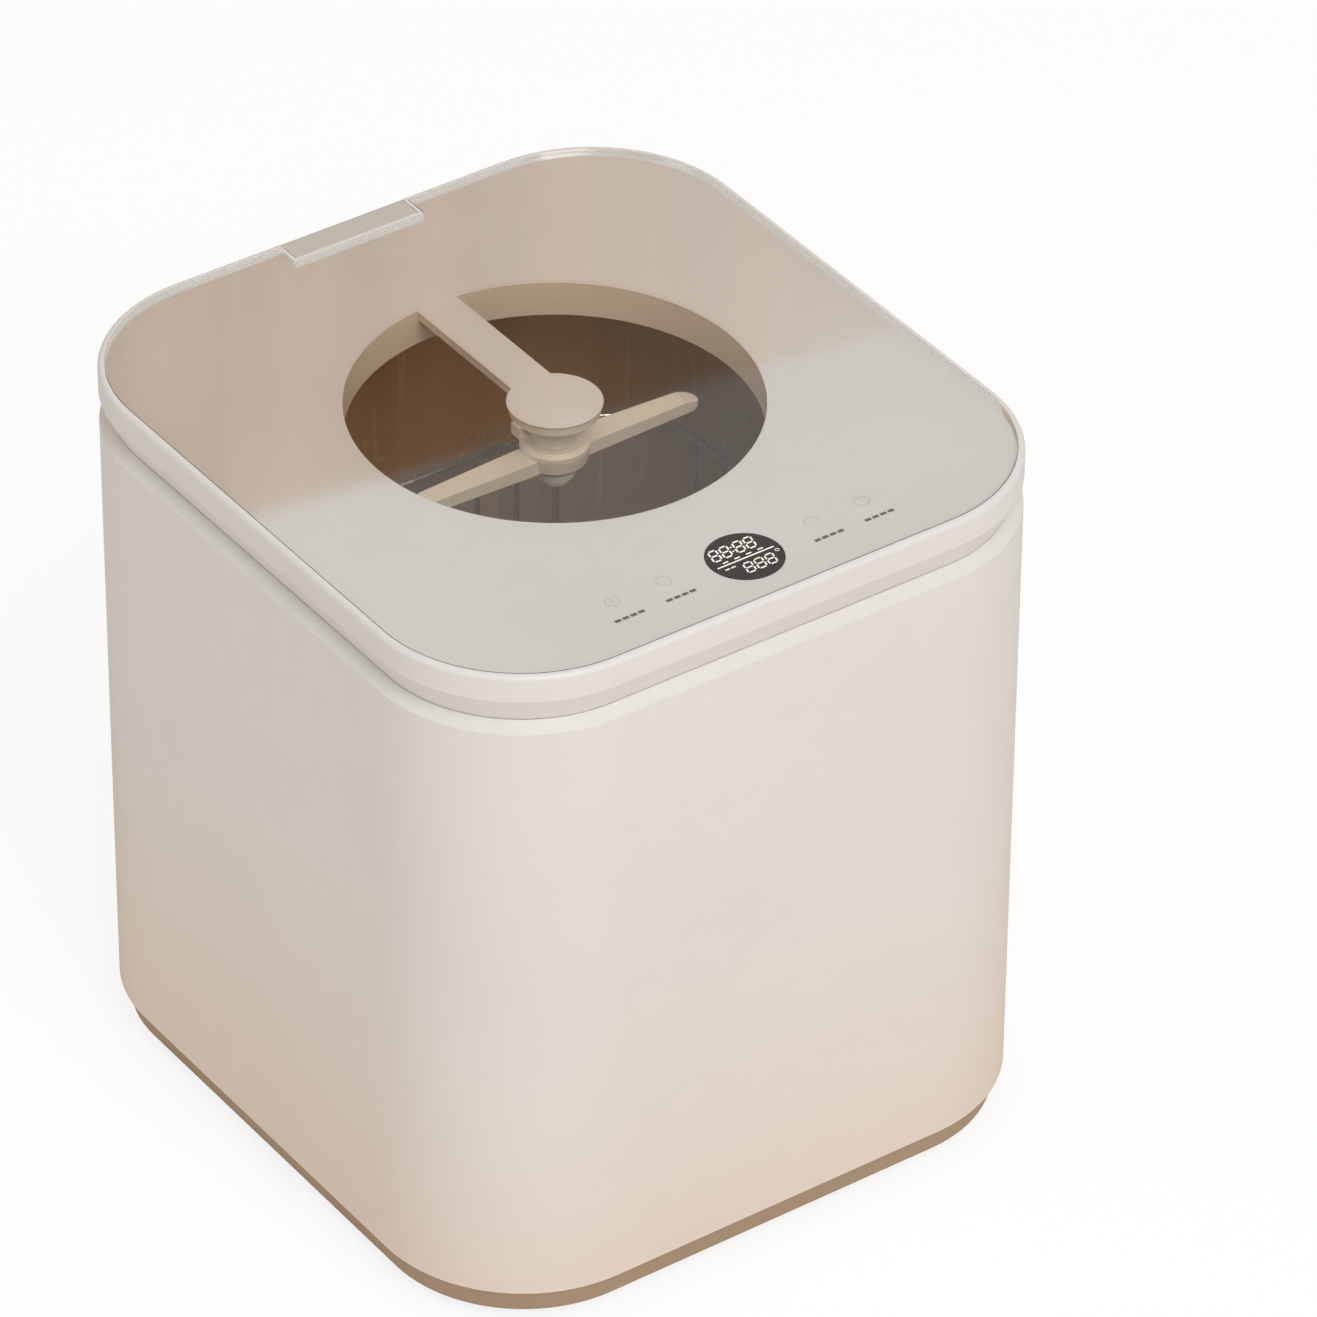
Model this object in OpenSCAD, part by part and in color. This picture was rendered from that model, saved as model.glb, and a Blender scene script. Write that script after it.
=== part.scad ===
// Countertop dishwasher that loads from the top: a moulded housing on a plinth, a steel tub with two
// turning spray arms, and a glazed lid that hinges at the back and carries the upper arm.
// Origin: middle of the footprint, on the table. +X right, +Y back, +Z up. The display is at the front.

/* [Body] */
// Width across the housing
body_w = 400; // [390:1:440]
// Depth from front to back
body_d = 430; // [420:1:470]
// Height from the table to the glass
body_h = 440; // [425:1:500]
// Radius of the upright corners
corner_r = 91; // [86:1:98]
// Wall of the moulded housing
wall = 2.5; // [2.2:0.1:3]
// Height of the sloping shoulder under the lid
shoulder_h = 4.4; // [4:0.1:6]
// How far the shoulder steps in
shoulder_in = 7.7; // [6.5:0.1:8.5]

/* [Base] */
// Height of a foot with its pad
foot_h = 8; // [7:0.5:14]
// Radius of a foot
foot_r = 15; // [12:0.5:20]
// Thickness of the rubber pad under a foot
pad_h = 2.5; // [2:0.5:4]
// Distance from a foot's centre to the side of the housing
foot_in = 62; // [50:1:75]
// Height of the plinth
plinth_h = 16; // [14:0.5:20]
// How far the plinth's top steps in from the housing
plinth_in = 2; // [1:0.5:3]
// How much further in its lower edge is
plinth_taper = 4; // [2:0.5:6]
// Height of the machine room between the plinth and the tub
machine_h = 94; // [92:1:110]

/* [Tub] */
// Gap between the tub and the housing at each side
side_gap = 14.5; // [13:0.5:18]
// Gap between the tub and the housing at the front
front_gap = 24.5; // [24:0.5:30]
// Gap between the tub and the housing at the back
rear_gap = 34.5; // [34:0.5:40]
// Radius of the tub's upright corners
tub_r = 70; // [60:1:76]
// Wall of the tub
tub_wall = 2; // [1.5:0.1:2.5]
// Inner radius between the tub's wall and its floor
tub_fillet = 20; // [14:1:26]
// Radius of the sump's mouth in the tub's floor
sump_r = 55; // [52:1:60]
// Depth of the sump below the tub
sump_h = 30; // [26:1:34]

/* [Deck] */
// Thickness of the top deck
deck_t = 3; // [2.5:0.1:3.5]
// Depth of the deck's drip lip inside the tub
drip_h = 6.4; // [4:0.1:10]
// Gap between the deck and the lid's edge
lid_gap = 0.6; // [0.5:0.1:1.5]

/* [Lid] */
// Thickness of the lid
lid_h = 32; // [31:0.5:36]
// Height of the lid's tapered lower side
lid_taper_h = 16; // [14:0.5:18]
// Radius of the lid's rounded top edge
lid_round = 3; // [2:0.1:3.5]
// Width of the rim round the glass
rim_w = 3.8; // [3.5:0.1:6]
// Wall of the lid frame
lid_wall = 3; // [2.5:0.1:3.2]
// Thickness of the glass
glass_t = 4; // [3:0.5:5]
// Thickness of the white print behind the glass
print_t = 0.3; // [0.3:0.1:0.5]
// Gap between the print and the glass, once the print has dried
print_gap = 0.04; // [0.02:0.01:0.06]
// Gap between the glass and its rim
glass_gap = 0.4; // [0.3:0.1:0.8]
// Height of the liner above the lid's lower edge
liner_up = 7; // [6:0.5:8]
// Thickness of the liner
liner_t = 2.5; // [2:0.1:3]
// Radius of the round window
window_r = 115; // [105:1:118]
// How far behind the middle the window and the hub are
window_y = 3.5; // [0:0.5:8]
// Radius of the printed disc over the hub
hub_disc_r = 26.5; // [25:0.5:30]
// Width of the printed tongue over the water duct
tongue_w = 26; // [24:0.5:32]
// Radius of the display
display_r = 21.7; // [18:0.1:24]
// Distance from the display's centre to the front edge
display_in = 41.7; // [38:0.1:44]
// How far the lid opens, in degrees
lid_open = 80; // [60:1:85]

/* [Hinge] */
// Width of the hinge block
hinge_w = 78; // [60:1:90]
// Gap at each end of the hinge block
hinge_gap = 2; // [1:0.5:3]
// Distance from the hinge axis to the back of the housing
hinge_in = 8; // [8:0.5:9]
// Height of the hinge axis above the lid's lower edge
hinge_up = 12; // [12:0.5:13]
// Radius of the hinge barrel
barrel_r = 8; // [7:0.5:8]
// Radius of the hinge pin
pin_r = 2.5; // [2:0.1:3]
// Radial running clearance of turning parts
run_clear = 0.06; // [0.02:0.01:0.1]

/* [Spray arms] */
// Length of the upper arm from hub to tip
upper_arm_l = 94; // [70:1:100]
// Length of the lower arm from hub to tip
lower_arm_l = 145; // [110:1:148]
// Radius of the tubes that the arms turn on
hub_r = 9; // [8:0.5:10]
// Radius of the water way in the hubs and the duct's ends
way_r = 5; // [4:0.5:5.5]
// Nozzles on each half of an arm
nozzle_n = 5; // [3:1:7]

/* [Racks] */
// Gap between the rack and the deck's mouth
rack_gap = 8; // [6:0.5:14]
// Height of the rack's floor above the tub's floor
rack_up = 46; // [45:0.5:55]
// Height of the rack's side
rack_h = 120; // [90:1:140]
// Radius of the rack's wires
wire_r = 1.75; // [1.5:0.05:2]
// Radius of the rack's rings
ring_r = 2.5; // [2:0.1:3]
// Distance between the rack's wires
wire_pitch = 27; // [25:0.5:27]
// Distance between the plate tines
tine_pitch = 24; // [20:0.5:30]
// Height of the plate tines
tine_h = 58; // [40:1:70]
// How far the rack and the basket lift under the closed lid
lift = 40; // [20:1:45]

/* [Hidden] */
$fn = 96;

// Colours
white = [0.89, 0.87, 0.84];
print_white = [0.83, 0.81, 0.78];
taupe = [0.77, 0.72, 0.66];
foot_grey = [0.62, 0.59, 0.52];
steel = [0.70, 0.70, 0.70];
dark = [0.18, 0.17, 0.16];
rubber = [0.35, 0.34, 0.33];
board_green = [0.10, 0.34, 0.22];
wire_grey = [0.80, 0.80, 0.79];
tint = [0.45, 0.38, 0.31, 0.5];

// Heights, from the table up
plinth_top = foot_h + plinth_h;
tub_under = plinth_top + machine_h;
tub_floor = tub_under + tub_wall;
sump_floor = tub_under - sump_h;
lid_z = body_h - lid_h;
deck_z = lid_z - lid_gap;
shoulder_z = deck_z - shoulder_h;
deck_under = deck_z - deck_t;
glass_z = body_h - glass_t;
print_z = glass_z - print_t;
liner_z = lid_z + liner_up;
liner_top = liner_z + liner_t;
base_t = 2.5;
base_floor = foot_h + base_t;

// The tub, in plan
tub_w = body_w - 2 * (wall + side_gap);
tub_front = -body_d / 2 + wall + front_gap;
tub_back = body_d / 2 - wall - rear_gap;
tub_d = tub_back - tub_front;
tub_y = (tub_back + tub_front) / 2;
tub_flange = 4;
lip_gap = 0.2;
drip_t = 2;
mouth_in = tub_wall + lip_gap + drip_t;

// Ledge inside the housing that carries the deck
ledge_in = shoulder_in + 1.8;
ledge_w = 3;

// Hinge axis
hinge_y = body_d / 2 - hinge_in;
hinge_z = lid_z + hinge_up;
notch_w = hinge_w + 2 * hinge_gap;
notch_y = hinge_y - barrel_r - 2;
notch_t = 2;
ear_w = 12;
ear_r = 5.5;

// Water way from the riser to the upper arm
duct_h = 6;
duct_z = print_z - duct_h;
duct_w = tongue_w - 2;
duct_t = 1.5;
spout_r = 7;
spout_y = tub_back + 2.5 + spout_r;
seal_gap = 0.3;

// Upper hub
hub_shoulder_z = lid_z + 4.5;
arm_top_z = hub_shoulder_z - 0.5;
arm_under_z = arm_top_z - 16.6;
upper_cap_h = 10;
end_play = 0.4;

// Lower hub
lower_seat_z = tub_floor + 10;
lower_arm_h = 20;
lower_cap_h = 9.6;
lower_tube_top = lower_seat_z + lower_arm_h + 2 * end_play + 4;

// Rack
rack_w = tub_w - 2 * (mouth_in + rack_gap);
rack_d = tub_d - 2 * (mouth_in + rack_gap);
rack_r = tub_r - 10;
rack_z = tub_floor + rack_up;
weld = 0.75;
wire_in = 2 * ring_r + wire_r - weld;
cross_z = rack_z + 2 * wire_r - weld;
tine_z = cross_z + 2 * wire_r;
wire_bend = 10;
wire_turn = wire_bend + 4;
seam = 0.02;
seam_turn = 0.02;

// Display, and the board it stands on
display_y = -body_d / 2 + display_in;
standoff = 4;
board_z = liner_top + standoff;
board_w = 196;
board_d = 40;
board_t = 1.6;

// Detergent cup, in the liner's front left corner, behind the board
cup_x = -112;
cup_gap = 1.3;
cup_w = 56;
cup_d = 40;
cup_t = 1.6;
cup_flange = 2;
cup_h = 13;
cup_y = display_y + (board_d + cup_d) / 2 + cup_gap;
cup_under = liner_z - 1.5;
flap_r = 2.6;
flap_pin_r = 1.25;
flap_y = cup_y + cup_d / 2 + 4;
flap_z = cup_under - 2;

// Latch at the front
latch_y = tub_front - 6.8;
latch_front = latch_y - 7.1;
latch_back = latch_y + 6.2;
striker_t = 3;
striker_w = 8.4;
// Room in front of the striker and behind it; it swings forward as the lid opens
slot_front = 1.5;
slot_back = 0.6;
solenoid_r = 5.2;
bolt_r = 2;
bolt_z = deck_z - 13.4;
bolt_throw = 10;

// Wash pump, with its axis along X
pump_y = tub_y - 107;
pump_z = base_floor + 53.5;
volute_r = 34;
volute_w = 30;
feed_z = pump_z - 22;
feed_r = 8;
shaft_r = 3;

// Rear cover
cover_w = 200;
cover_z = plinth_top + 10;
cover_h = deck_under - 28.4 - cover_z;
cover_r = 12;
cover_t = 2;
cover_fit = 0.4;
cover_sink = 1;
cover_ledge = 10;
cover_y = body_d / 2 - cover_sink - cover_t;
ledge_y = cover_y - wall;

// Pocket in the rear cover, with the connectors
pocket_w = 164;
pocket_h = 44;
pocket_z = cover_z + cover_ledge + 2.5;
pocket_y = body_d / 2 - 15;
port_z = pocket_z + pocket_h / 2;
inlet_x = -62;
outlet_x = 30;
power_x = 63;
neck_r = 9;
drain_neck_r = 8;

// Drain pump, with its axis along X
drain_x = 72;
drain_y = tub_y + 65;
drain_z = port_z - 11;
drain_r = 19;

// Drying vent
vent_x = -50;
vent_z = deck_z - 75;
vent_w = 66;
vent_h = 50;
vent_n = 6;
vent_pitch = 7;

// ---------- Shared shapes ----------

// Plan outline with round corners
module rrect(w, d, r) {
  square([w - 2 * r, d], center = true);
  square([w, d - 2 * r], center = true);
  for (x = [-1, 1], y = [-1, 1])
    translate([x * (w / 2 - r), y * (d / 2 - r)]) circle(r);
}

// Plate with round corners, its underside at z
module plate(w, d, r, z, t) translate([0, 0, z]) linear_extrude(t) rrect(w, d, r);

// Plate that follows the housing's outline at an inset
module body_plate(inset, z, t)
  plate(body_w - 2 * inset, body_d - 2 * inset, corner_r - inset, z, t);

// Plate that follows the tub's outer outline, grown or shrunk
module tub_plate(grow, z, t)
  translate([0, tub_y, 0]) plate(tub_w + 2 * grow, tub_d + 2 * grow, tub_r + grow, z, t);

// Sweeps a profile, drawn as (inset, height), round a rounded rectangle
module rim(w, d, r) {
  for (k = [0:3]) {
    hx = (k % 2 == 0 ? w : d) / 2;
    hy = (k % 2 == 0 ? d : w) / 2;
    rotate([0, 0, 90 * k]) {
      translate([hx - r, hy - r, 0])
        rotate_extrude(angle = 90) translate([r, 0]) mirror([1, 0]) children();
      translate([hx, r - hy, 0])
        rotate([90, 0, 180]) linear_extrude(2 * (hy - r)) children();
    }
  }
}

module xcyl(x, y, z, r, h) translate([x, y, z]) rotate([0, 90, 0]) cylinder(r = r, h = h);
module ycyl(x, y, z, r, h) translate([x, y, z]) rotate([-90, 0, 0]) cylinder(r = r, h = h);
module zcyl(x, y, z, r, h) translate([x, y, z]) cylinder(r = r, h = h);
module box(x, y, z) translate([x[0], y[0], z[0]]) cube([x[1] - x[0], y[1] - y[0], z[1] - z[0]]);

// Places children with their axes on three unit vectors
module frame_of(p, a, b, c)
  multmatrix([
    [a[0], b[0], c[0], p[0]],
    [a[1], b[1], c[1], p[1]],
    [a[2], b[2], c[2], p[2]],
    [0, 0, 0, 1]
  ]) children();

function unit(v) = v / norm(v);

// Round bar along a route of square turns, each with the same bend radius
module bar(route, r, bend) {
  n = len(route);
  for (i = [0:n - 2]) {
    d = unit(route[i + 1] - route[i]);
    p = route[i] + (i > 0 ? bend : 0) * d;
    q = route[i + 1] - (i < n - 2 ? bend : 0) * d;
    side = [d[1], d[2], d[0]];
    frame_of(p, side, cross(d, side), d) cylinder(r = r, h = norm(q - p));
  }
  for (i = [1:1:n - 2]) {
    d = unit(route[i] - route[i - 1]);
    e = unit(route[i + 1] - route[i]);
    frame_of(route[i] - bend * d + bend * e, -e, d, cross(d, e))
      rotate_extrude(angle = 90) translate([bend, 0]) circle(r);
  }
}

module pipe(route, r, t, bend) difference() {
  bar(route, r, bend);
  bar(route, r - t, bend);
}

// ---------- Housing and base ----------

module housing_shell() color(white) difference() {
  union() {
    rim(body_w, body_d, corner_r) polygon([
      [0, plinth_top],
      [0, shoulder_z],
      [shoulder_in, deck_z],
      [ledge_in, deck_z],
      [ledge_in, deck_under],
      [ledge_in + ledge_w, deck_under],
      [ledge_in + ledge_w, deck_under - wall],
      [ledge_in, deck_under - wall],
      [wall, shoulder_z - ledge_in + wall],
      [wall, plinth_top + wall],
      [8, plinth_top + wall],
      [8, plinth_top]
    ]);
    // Ledge behind the rear cover, with bosses for its screws
    cover_face(cover_fit + 4, ledge_y, body_d / 2 - wall / 2 - ledge_y);
    for (p = cover_holes) ycyl(p[0], ledge_y - 8, p[1], 4, 9);
  }
  cover_face(cover_fit, ledge_y + wall, 2 * wall);
  cover_face(-cover_ledge, ledge_y - 1, 2 * wall);
  for (p = cover_holes) ycyl(p[0], ledge_y - 7, p[1], screw_r, 20);
}

// Cover screws, in the middle of the ledge
cover_holes = [
  for (x = [-1, 1], z = [0.04, 0.5, 0.96])
    [x * (cover_w - cover_ledge) / 2, cover_z + z * cover_h]
];
screw_r = 1.5;
screw_head_r = 3.2;
screw_head_h = 1;

module cover_face(grow, y, t) translate([0, y + t, cover_z + cover_h / 2]) rotate([90, 0, 0])
  linear_extrude(t) rrect(cover_w + 2 * grow, cover_h + 2 * grow, cover_r + grow);

module rear_cover() color(white) difference() {
  union() {
    cover_face(0, cover_y, cover_t);
    // Walls of the connector pocket
    box([-pocket_w / 2 - 2, pocket_w / 2 + 2], [pocket_y - 2, cover_y + 1],
      [pocket_z - 2, pocket_z + pocket_h + 2]);
    // Sleeve from the louvres to the tub's vent holes
    box([vent_x - vent_w / 2, vent_x + vent_w / 2], [tub_back, cover_y + 1],
      [vent_z - vent_h / 2, vent_z + vent_h / 2]);
  }
  box([-pocket_w / 2, pocket_w / 2], [pocket_y, body_d / 2 + 1], [pocket_z, pocket_z + pocket_h]);
  box([vent_x - vent_w / 2 + 2, vent_x + vent_w / 2 - 2], [tub_back - 1, cover_y],
    [vent_z - vent_h / 2 + 2, vent_z + vent_h / 2 - 2]);
  // Louvres, each slanting down and out
  for (k = [0:vent_n - 1])
    translate([vent_x, cover_y, vent_z + (k - (vent_n - 1) / 2) * vent_pitch]) rotate([-30, 0, 0])
      cube([vent_w - 8, 4 * cover_t, 3], center = true);
  ycyl(inlet_x, pocket_y - 3, port_z, neck_r, 4);
  ycyl(outlet_x, pocket_y - 3, port_z, drain_neck_r, 4);
  box([power_x - 12, power_x + 12], [pocket_y - 3, pocket_y + 1], [port_z - 8, port_z + 8]);
  for (p = cover_holes) ycyl(p[0], cover_y - 1, p[1], screw_r, 20);
}

module cover_screws() color(steel) for (p = cover_holes) {
  ycyl(p[0], ledge_y - 6, p[1], screw_r, body_d / 2 - cover_sink - ledge_y + 6);
  ycyl(p[0], body_d / 2 - cover_sink, p[1], screw_head_r, screw_head_h);
}

foot_at = [for (x = [-1, 1], y = [-1, 1])
  [x * (body_w / 2 - foot_in), y * (body_d / 2 - foot_in)]];

module base_tray() color(taupe) {
  rim(body_w, body_d, corner_r) polygon([
    [plinth_in, plinth_top],
    [plinth_in + 5, plinth_top],
    [plinth_in + plinth_taper + 3, base_floor],
    [plinth_in + plinth_taper + 3, foot_h],
    [plinth_in + plinth_taper, foot_h]
  ]);
  body_plate(plinth_in + plinth_taper + 2, foot_h, base_t);
  // Cradles under the wash pump's motor
  for (x = [30, 66]) difference() {
    box([x, x + 6], [pump_y - 28, pump_y + 28], [base_floor - 1, pump_z - 12]);
    xcyl(x - 1, pump_y, pump_z, motor_r, 8);
  }
  // Stand under the drain pump
  difference() {
    box([drain_x - 2, drain_x + 8], [drain_y - 12, drain_y + 12], [base_floor - 1, drain_z - 12]);
    xcyl(drain_x - 3, drain_y, drain_z, drain_r, 12);
  }
}

module feet() color(foot_grey) for (p = foot_at) {
  zcyl(p[0], p[1], pad_h, foot_r, foot_h - pad_h);
}

module foot_pads() color(rubber) for (p = foot_at) zcyl(p[0], p[1], 0, foot_r - 2, pad_h);

// ---------- Deck and tub ----------

module top_deck() color(white) difference() {
  union() {
    body_plate(ledge_in + lip_gap, deck_under, deck_t);
    tub_plate(-tub_wall - lip_gap, deck_z - drip_h, drip_h);
  }
  tub_plate(-mouth_in, deck_z - drip_h - 1, drip_h + 2);
  zcyl(0, spout_y, deck_under - 1, spout_r, deck_t + 2);
  striker_slot([deck_under - 1, deck_z + 1]);
}

// Profile of the tub, from its flange down the wall and round into the floor
module tub_profile() {
  r = tub_fillet + tub_wall;
  translate([-tub_flange, deck_under - tub_wall]) square([tub_flange + tub_wall, tub_wall]);
  translate([0, tub_under + r]) square([tub_wall, deck_under - tub_under - r]);
  intersection() {
    difference() {
      translate([r, tub_under + r]) circle(r);
      translate([r, tub_under + r]) circle(tub_fillet);
    }
    translate([0, tub_under]) square(r);
  }
}

module inner_tub() color(steel) difference() {
  union() {
    translate([0, tub_y, 0]) rim(tub_w, tub_d, tub_r) tub_profile();
    tub_plate(-tub_fillet - tub_wall, tub_under, tub_wall);
  }
  zcyl(0, tub_y, tub_under - 1, sump_r, tub_wall + 2);
  zcyl(0, spout_y, deck_under - tub_wall - 1, spout_r, tub_wall + 2);
  striker_slot([deck_under - tub_wall - 1, deck_under + 1]);
  // Vent holes
  for (k = [0:6]) ycyl(vent_x + (k - 3) * 8, tub_back - 2 * tub_wall, vent_z, 2.5, 3 * tub_wall);
  // Float stem, heater ends
  zcyl(float_x, float_y, tub_under - 1, float_stem_r + 1, tub_wall + 2);
  for (s = [-1, 1]) zcyl(s * heater_leg, heater_y, tub_under - 1, heater_wire_r, tub_wall + 2);
}

// ---------- Hinge ----------

module hinge_block() color(white) difference() {
  union() {
    xcyl(-hinge_w / 2, hinge_y, hinge_z, barrel_r, hinge_w);
    box([-hinge_w / 2, hinge_w / 2], [hinge_y - barrel_r, hinge_y + 6], [deck_z, hinge_z - 4]);
  }
  xcyl(-hinge_w / 2 - 1, hinge_y, hinge_z, pin_r + run_clear, hinge_w + 2);
  for (s = [-1, 1]) xcyl(s * 23 - spring_l / 2 - 0.5, hinge_y, hinge_z, spring_r + spring_wire + 0.6,
    spring_l + 1);
}

spring_r = pin_r + 1.4;
spring_wire = 0.7;
spring_turns = 7;
spring_l = 2 * spring_wire * 1.15 * spring_turns;

// Torsion springs wound round the pin, one mirrored from the other
module hinge_springs() color(steel) for (s = [-1, 1])
  translate([s * 23, hinge_y, hinge_z]) mirror([s > 0 ? 1 : 0, 0, 0]) coil();

module coil() {
  steps = 12;
  sides = 5;
  n = steps * spring_turns;
  pitch = 2 * spring_wire * 1.12;
  start = -pitch * spring_turns / 2;
  points = [for (i = [0:n], j = [0:sides - 1])
    let (a = 360 * i / steps, b = 360 * j / sides, r = spring_r + spring_wire * cos(b))
      [start + pitch * i / steps + spring_wire * sin(b), r * cos(a), r * sin(a)]];
  faces = concat(
    [[for (j = [0:sides - 1]) j]],
    [[for (j = [sides - 1:-1:0]) n * sides + j]],
    [for (i = [0:n - 1], j = [0:sides - 1])
      [i * sides + j, (i + 1) * sides + j, (i + 1) * sides + (j + 1) % sides,
        i * sides + (j + 1) % sides]]
  );
  polyhedron(points, faces);
}

module hinge_pin() color(steel)
  xcyl(-notch_w / 2 - ear_w, hinge_y, hinge_z, pin_r, notch_w + 2 * ear_w);

// ---------- Lid ----------

// Outer profile of the lid frame, as (inset, height)
module lid_profile() {
  taper_z = lid_z + lid_taper_h;
  polygon([
    [shoulder_in, lid_z],
    [0, taper_z],
    [0, body_h - lid_round],
    [lid_round, body_h - lid_round],
    [lid_round, body_h],
    [rim_w, body_h],
    [rim_w, print_z],
    [rim_w + 9, print_z],
    [rim_w + 9, print_z - lid_wall],
    [lid_wall, print_z - lid_wall],
    [lid_wall, taper_z + 0.5],
    [shoulder_in + 2.7, lid_z + 1.5],
    [shoulder_in + 2.7, lid_z]
  ]);
  translate([lid_round, body_h - lid_round]) intersection() {
    circle(lid_round);
    translate([-lid_round, 0]) square(lid_round);
  }
}

// Cross-section of the walls that close the lid frame at the hinge notch
module notch_side() polygon([
  [notch_y - notch_t, liner_top],
  [body_d / 2 - shoulder_in - 1, lid_z + 1],
  [body_d / 2 - 1.5, lid_z + lid_taper_h],
  [body_d / 2 - 1.5, print_z],
  [notch_y - notch_t, print_z]
]);

boss_in = 12;
lid_bosses = [for (k = [0:7])
  let (a = 22.5 + 45 * k, x = body_w / 2 - boss_in, y = body_d / 2 - boss_in, r = corner_r - boss_in)
    [
      abs(cos(a)) > abs(sin(a)) ? sign(cos(a)) * x : sign(cos(a)) * (x - r),
      abs(cos(a)) > abs(sin(a)) ? sign(sin(a)) * (y - r) : sign(sin(a)) * y
    ]];

module lid_frame() color(white) difference() {
  union() {
    difference() {
      rim(body_w, body_d, corner_r) lid_profile();
      box([-notch_w / 2, notch_w / 2], [notch_y, body_d / 2 + 1], [lid_z - 1, body_h + 1]);
    }
    for (s = [-1, 1]) translate([s * (notch_w / 2 + notch_t / 2) - notch_t / 2, 0, 0])
      rotate([90, 0, 90]) linear_extrude(notch_t) notch_side();
    box([-notch_w / 2 - notch_t, notch_w / 2 + notch_t], [notch_y - notch_t, notch_y],
      [liner_z, body_h]);
    for (s = [-1, 1]) box(
      [s * (notch_w / 2 + notch_t / 2) - notch_t / 2, s * (notch_w / 2 + notch_t / 2) + notch_t / 2],
      [notch_y - notch_t, body_d / 2 - rim_w], [print_z - 1, body_h]);
    for (s = [-1, 1])
      xcyl(s * (notch_w / 2 + ear_w / 2) - ear_w / 2, hinge_y, hinge_z, ear_r, ear_w);
    for (p = lid_bosses) zcyl(p[0], p[1], liner_top, 4.5, print_z - 1 - liner_top);
  }
  xcyl(-notch_w / 2 - ear_w, hinge_y, hinge_z, pin_r, notch_w + 2 * ear_w);
  for (p = lid_bosses) zcyl(p[0], p[1], liner_top - 1, screw_r, 11);
}

// Plan outline of the glass: the lid's, less its rim and the hinge notch
module glass_outline() difference() {
  inset = rim_w + glass_gap;
  rrect(body_w - 2 * inset, body_d - 2 * inset, corner_r - inset);
  translate([-notch_w / 2 - notch_t - glass_gap, notch_y - notch_t - glass_gap])
    square([notch_w + 2 * (notch_t + glass_gap), 60]);
}

module glass_panel() color(tint) translate([0, 0, glass_z])
  linear_extrude(glass_t) glass_outline();

module glass_print() color(print_white) translate([0, 0, print_z])
  linear_extrude(print_t - print_gap)
  difference() {
    glass_outline();
    difference() {
      translate([0, window_y]) circle(window_r);
      translate([0, window_y]) circle(hub_disc_r);
      translate([-tongue_w / 2, window_y]) square([tongue_w, window_r + 5]);
    }
    translate([0, display_y]) circle(display_r);
  }

liner_in = shoulder_in + 0.8;
display_case_r = display_r + 1.2;

module lid_liner() color(white) difference() {
  union() {
    body_plate(liner_in, liner_z, liner_t);
    zcyl(0, window_y, liner_z, window_r + 2, print_z - liner_z);
    for (x = [-1, 1], y = [-1, 1])
      zcyl(x * (board_w / 2 - 5), display_y + y * (board_d / 2 - 5), liner_top - 0.5, 3,
        standoff + 0.5);
  }
  zcyl(0, window_y, liner_z - 1, window_r, lid_h);
  // Hinge notch, water duct and its socket, detergent cup
  box([-notch_w / 2 - notch_t, notch_w / 2 + notch_t], [notch_y - notch_t, body_d / 2],
    [liner_z - 1, liner_top + 1]);
  box([-notch_w / 2 - ear_w - 1, notch_w / 2 + ear_w + 1], [hinge_y - ear_r - 1, body_d / 2],
    [liner_z - 1, liner_top + 1]);
  box([-duct_w / 2, duct_w / 2], [window_y, tub_back], [duct_z, print_z + 1]);
  zcyl(0, spout_y, liner_z - 1, spout_r, lid_h);
  box([cup_x - cup_w / 2, cup_x + cup_w / 2], [cup_y - cup_d / 2, cup_y + cup_d / 2],
    [liner_z - 1, liner_top + 1]);
  for (p = lid_bosses) zcyl(p[0], p[1], liner_z - 1, screw_r, liner_t + 2);
}

module lid_screws() color(steel) for (p = lid_bosses) {
  zcyl(p[0], p[1], liner_z, screw_r, 12);
  zcyl(p[0], p[1], liner_z - screw_head_h, screw_head_r, screw_head_h);
}

seal_w = 5.5;

module lid_seal() color(rubber) difference() {
  tub_plate(seal_w - mouth_in, deck_z + seal_gap, liner_z - deck_z - seal_gap);
  tub_plate(-mouth_in, deck_z, lid_h);
}

module touch_board() color(board_green)
  translate([-board_w / 2, display_y - board_d / 2, board_z]) cube([board_w, board_d, board_t]);

touch_x = [-80, -47, 47, 80];

module touch_springs() color(steel) for (x = touch_x)
  difference() {
    zcyl(x, display_y - 3, board_z + board_t, 6, print_z - board_z - board_t);
    zcyl(x, display_y - 3, board_z + board_t - 1, 5, print_z - board_z);
  }

module display_module() color(dark)
  zcyl(0, display_y, board_z + board_t, display_case_r, print_z - board_z - board_t);

// ---------- Water way in the lid ----------

module water_duct() color(white) difference() {
  union() {
    box([-duct_w / 2, duct_w / 2], [window_y, spout_y + spout_r], [duct_z, print_z]);
    zcyl(0, window_y, duct_z, hub_disc_r - 1.5, duct_h);
    zcyl(0, spout_y, deck_z + 2 * seal_gap + 0.5, spout_r, duct_z - deck_z);
  }
  box([duct_t - duct_w / 2, duct_w / 2 - duct_t], [window_y, spout_y + spout_r - duct_t],
    [duct_z + duct_t, print_z - duct_t]);
  zcyl(0, window_y, duct_z - 1, way_r, duct_h - duct_t);
  zcyl(0, spout_y, deck_z, way_r, print_z - duct_t - deck_z);
}

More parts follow.
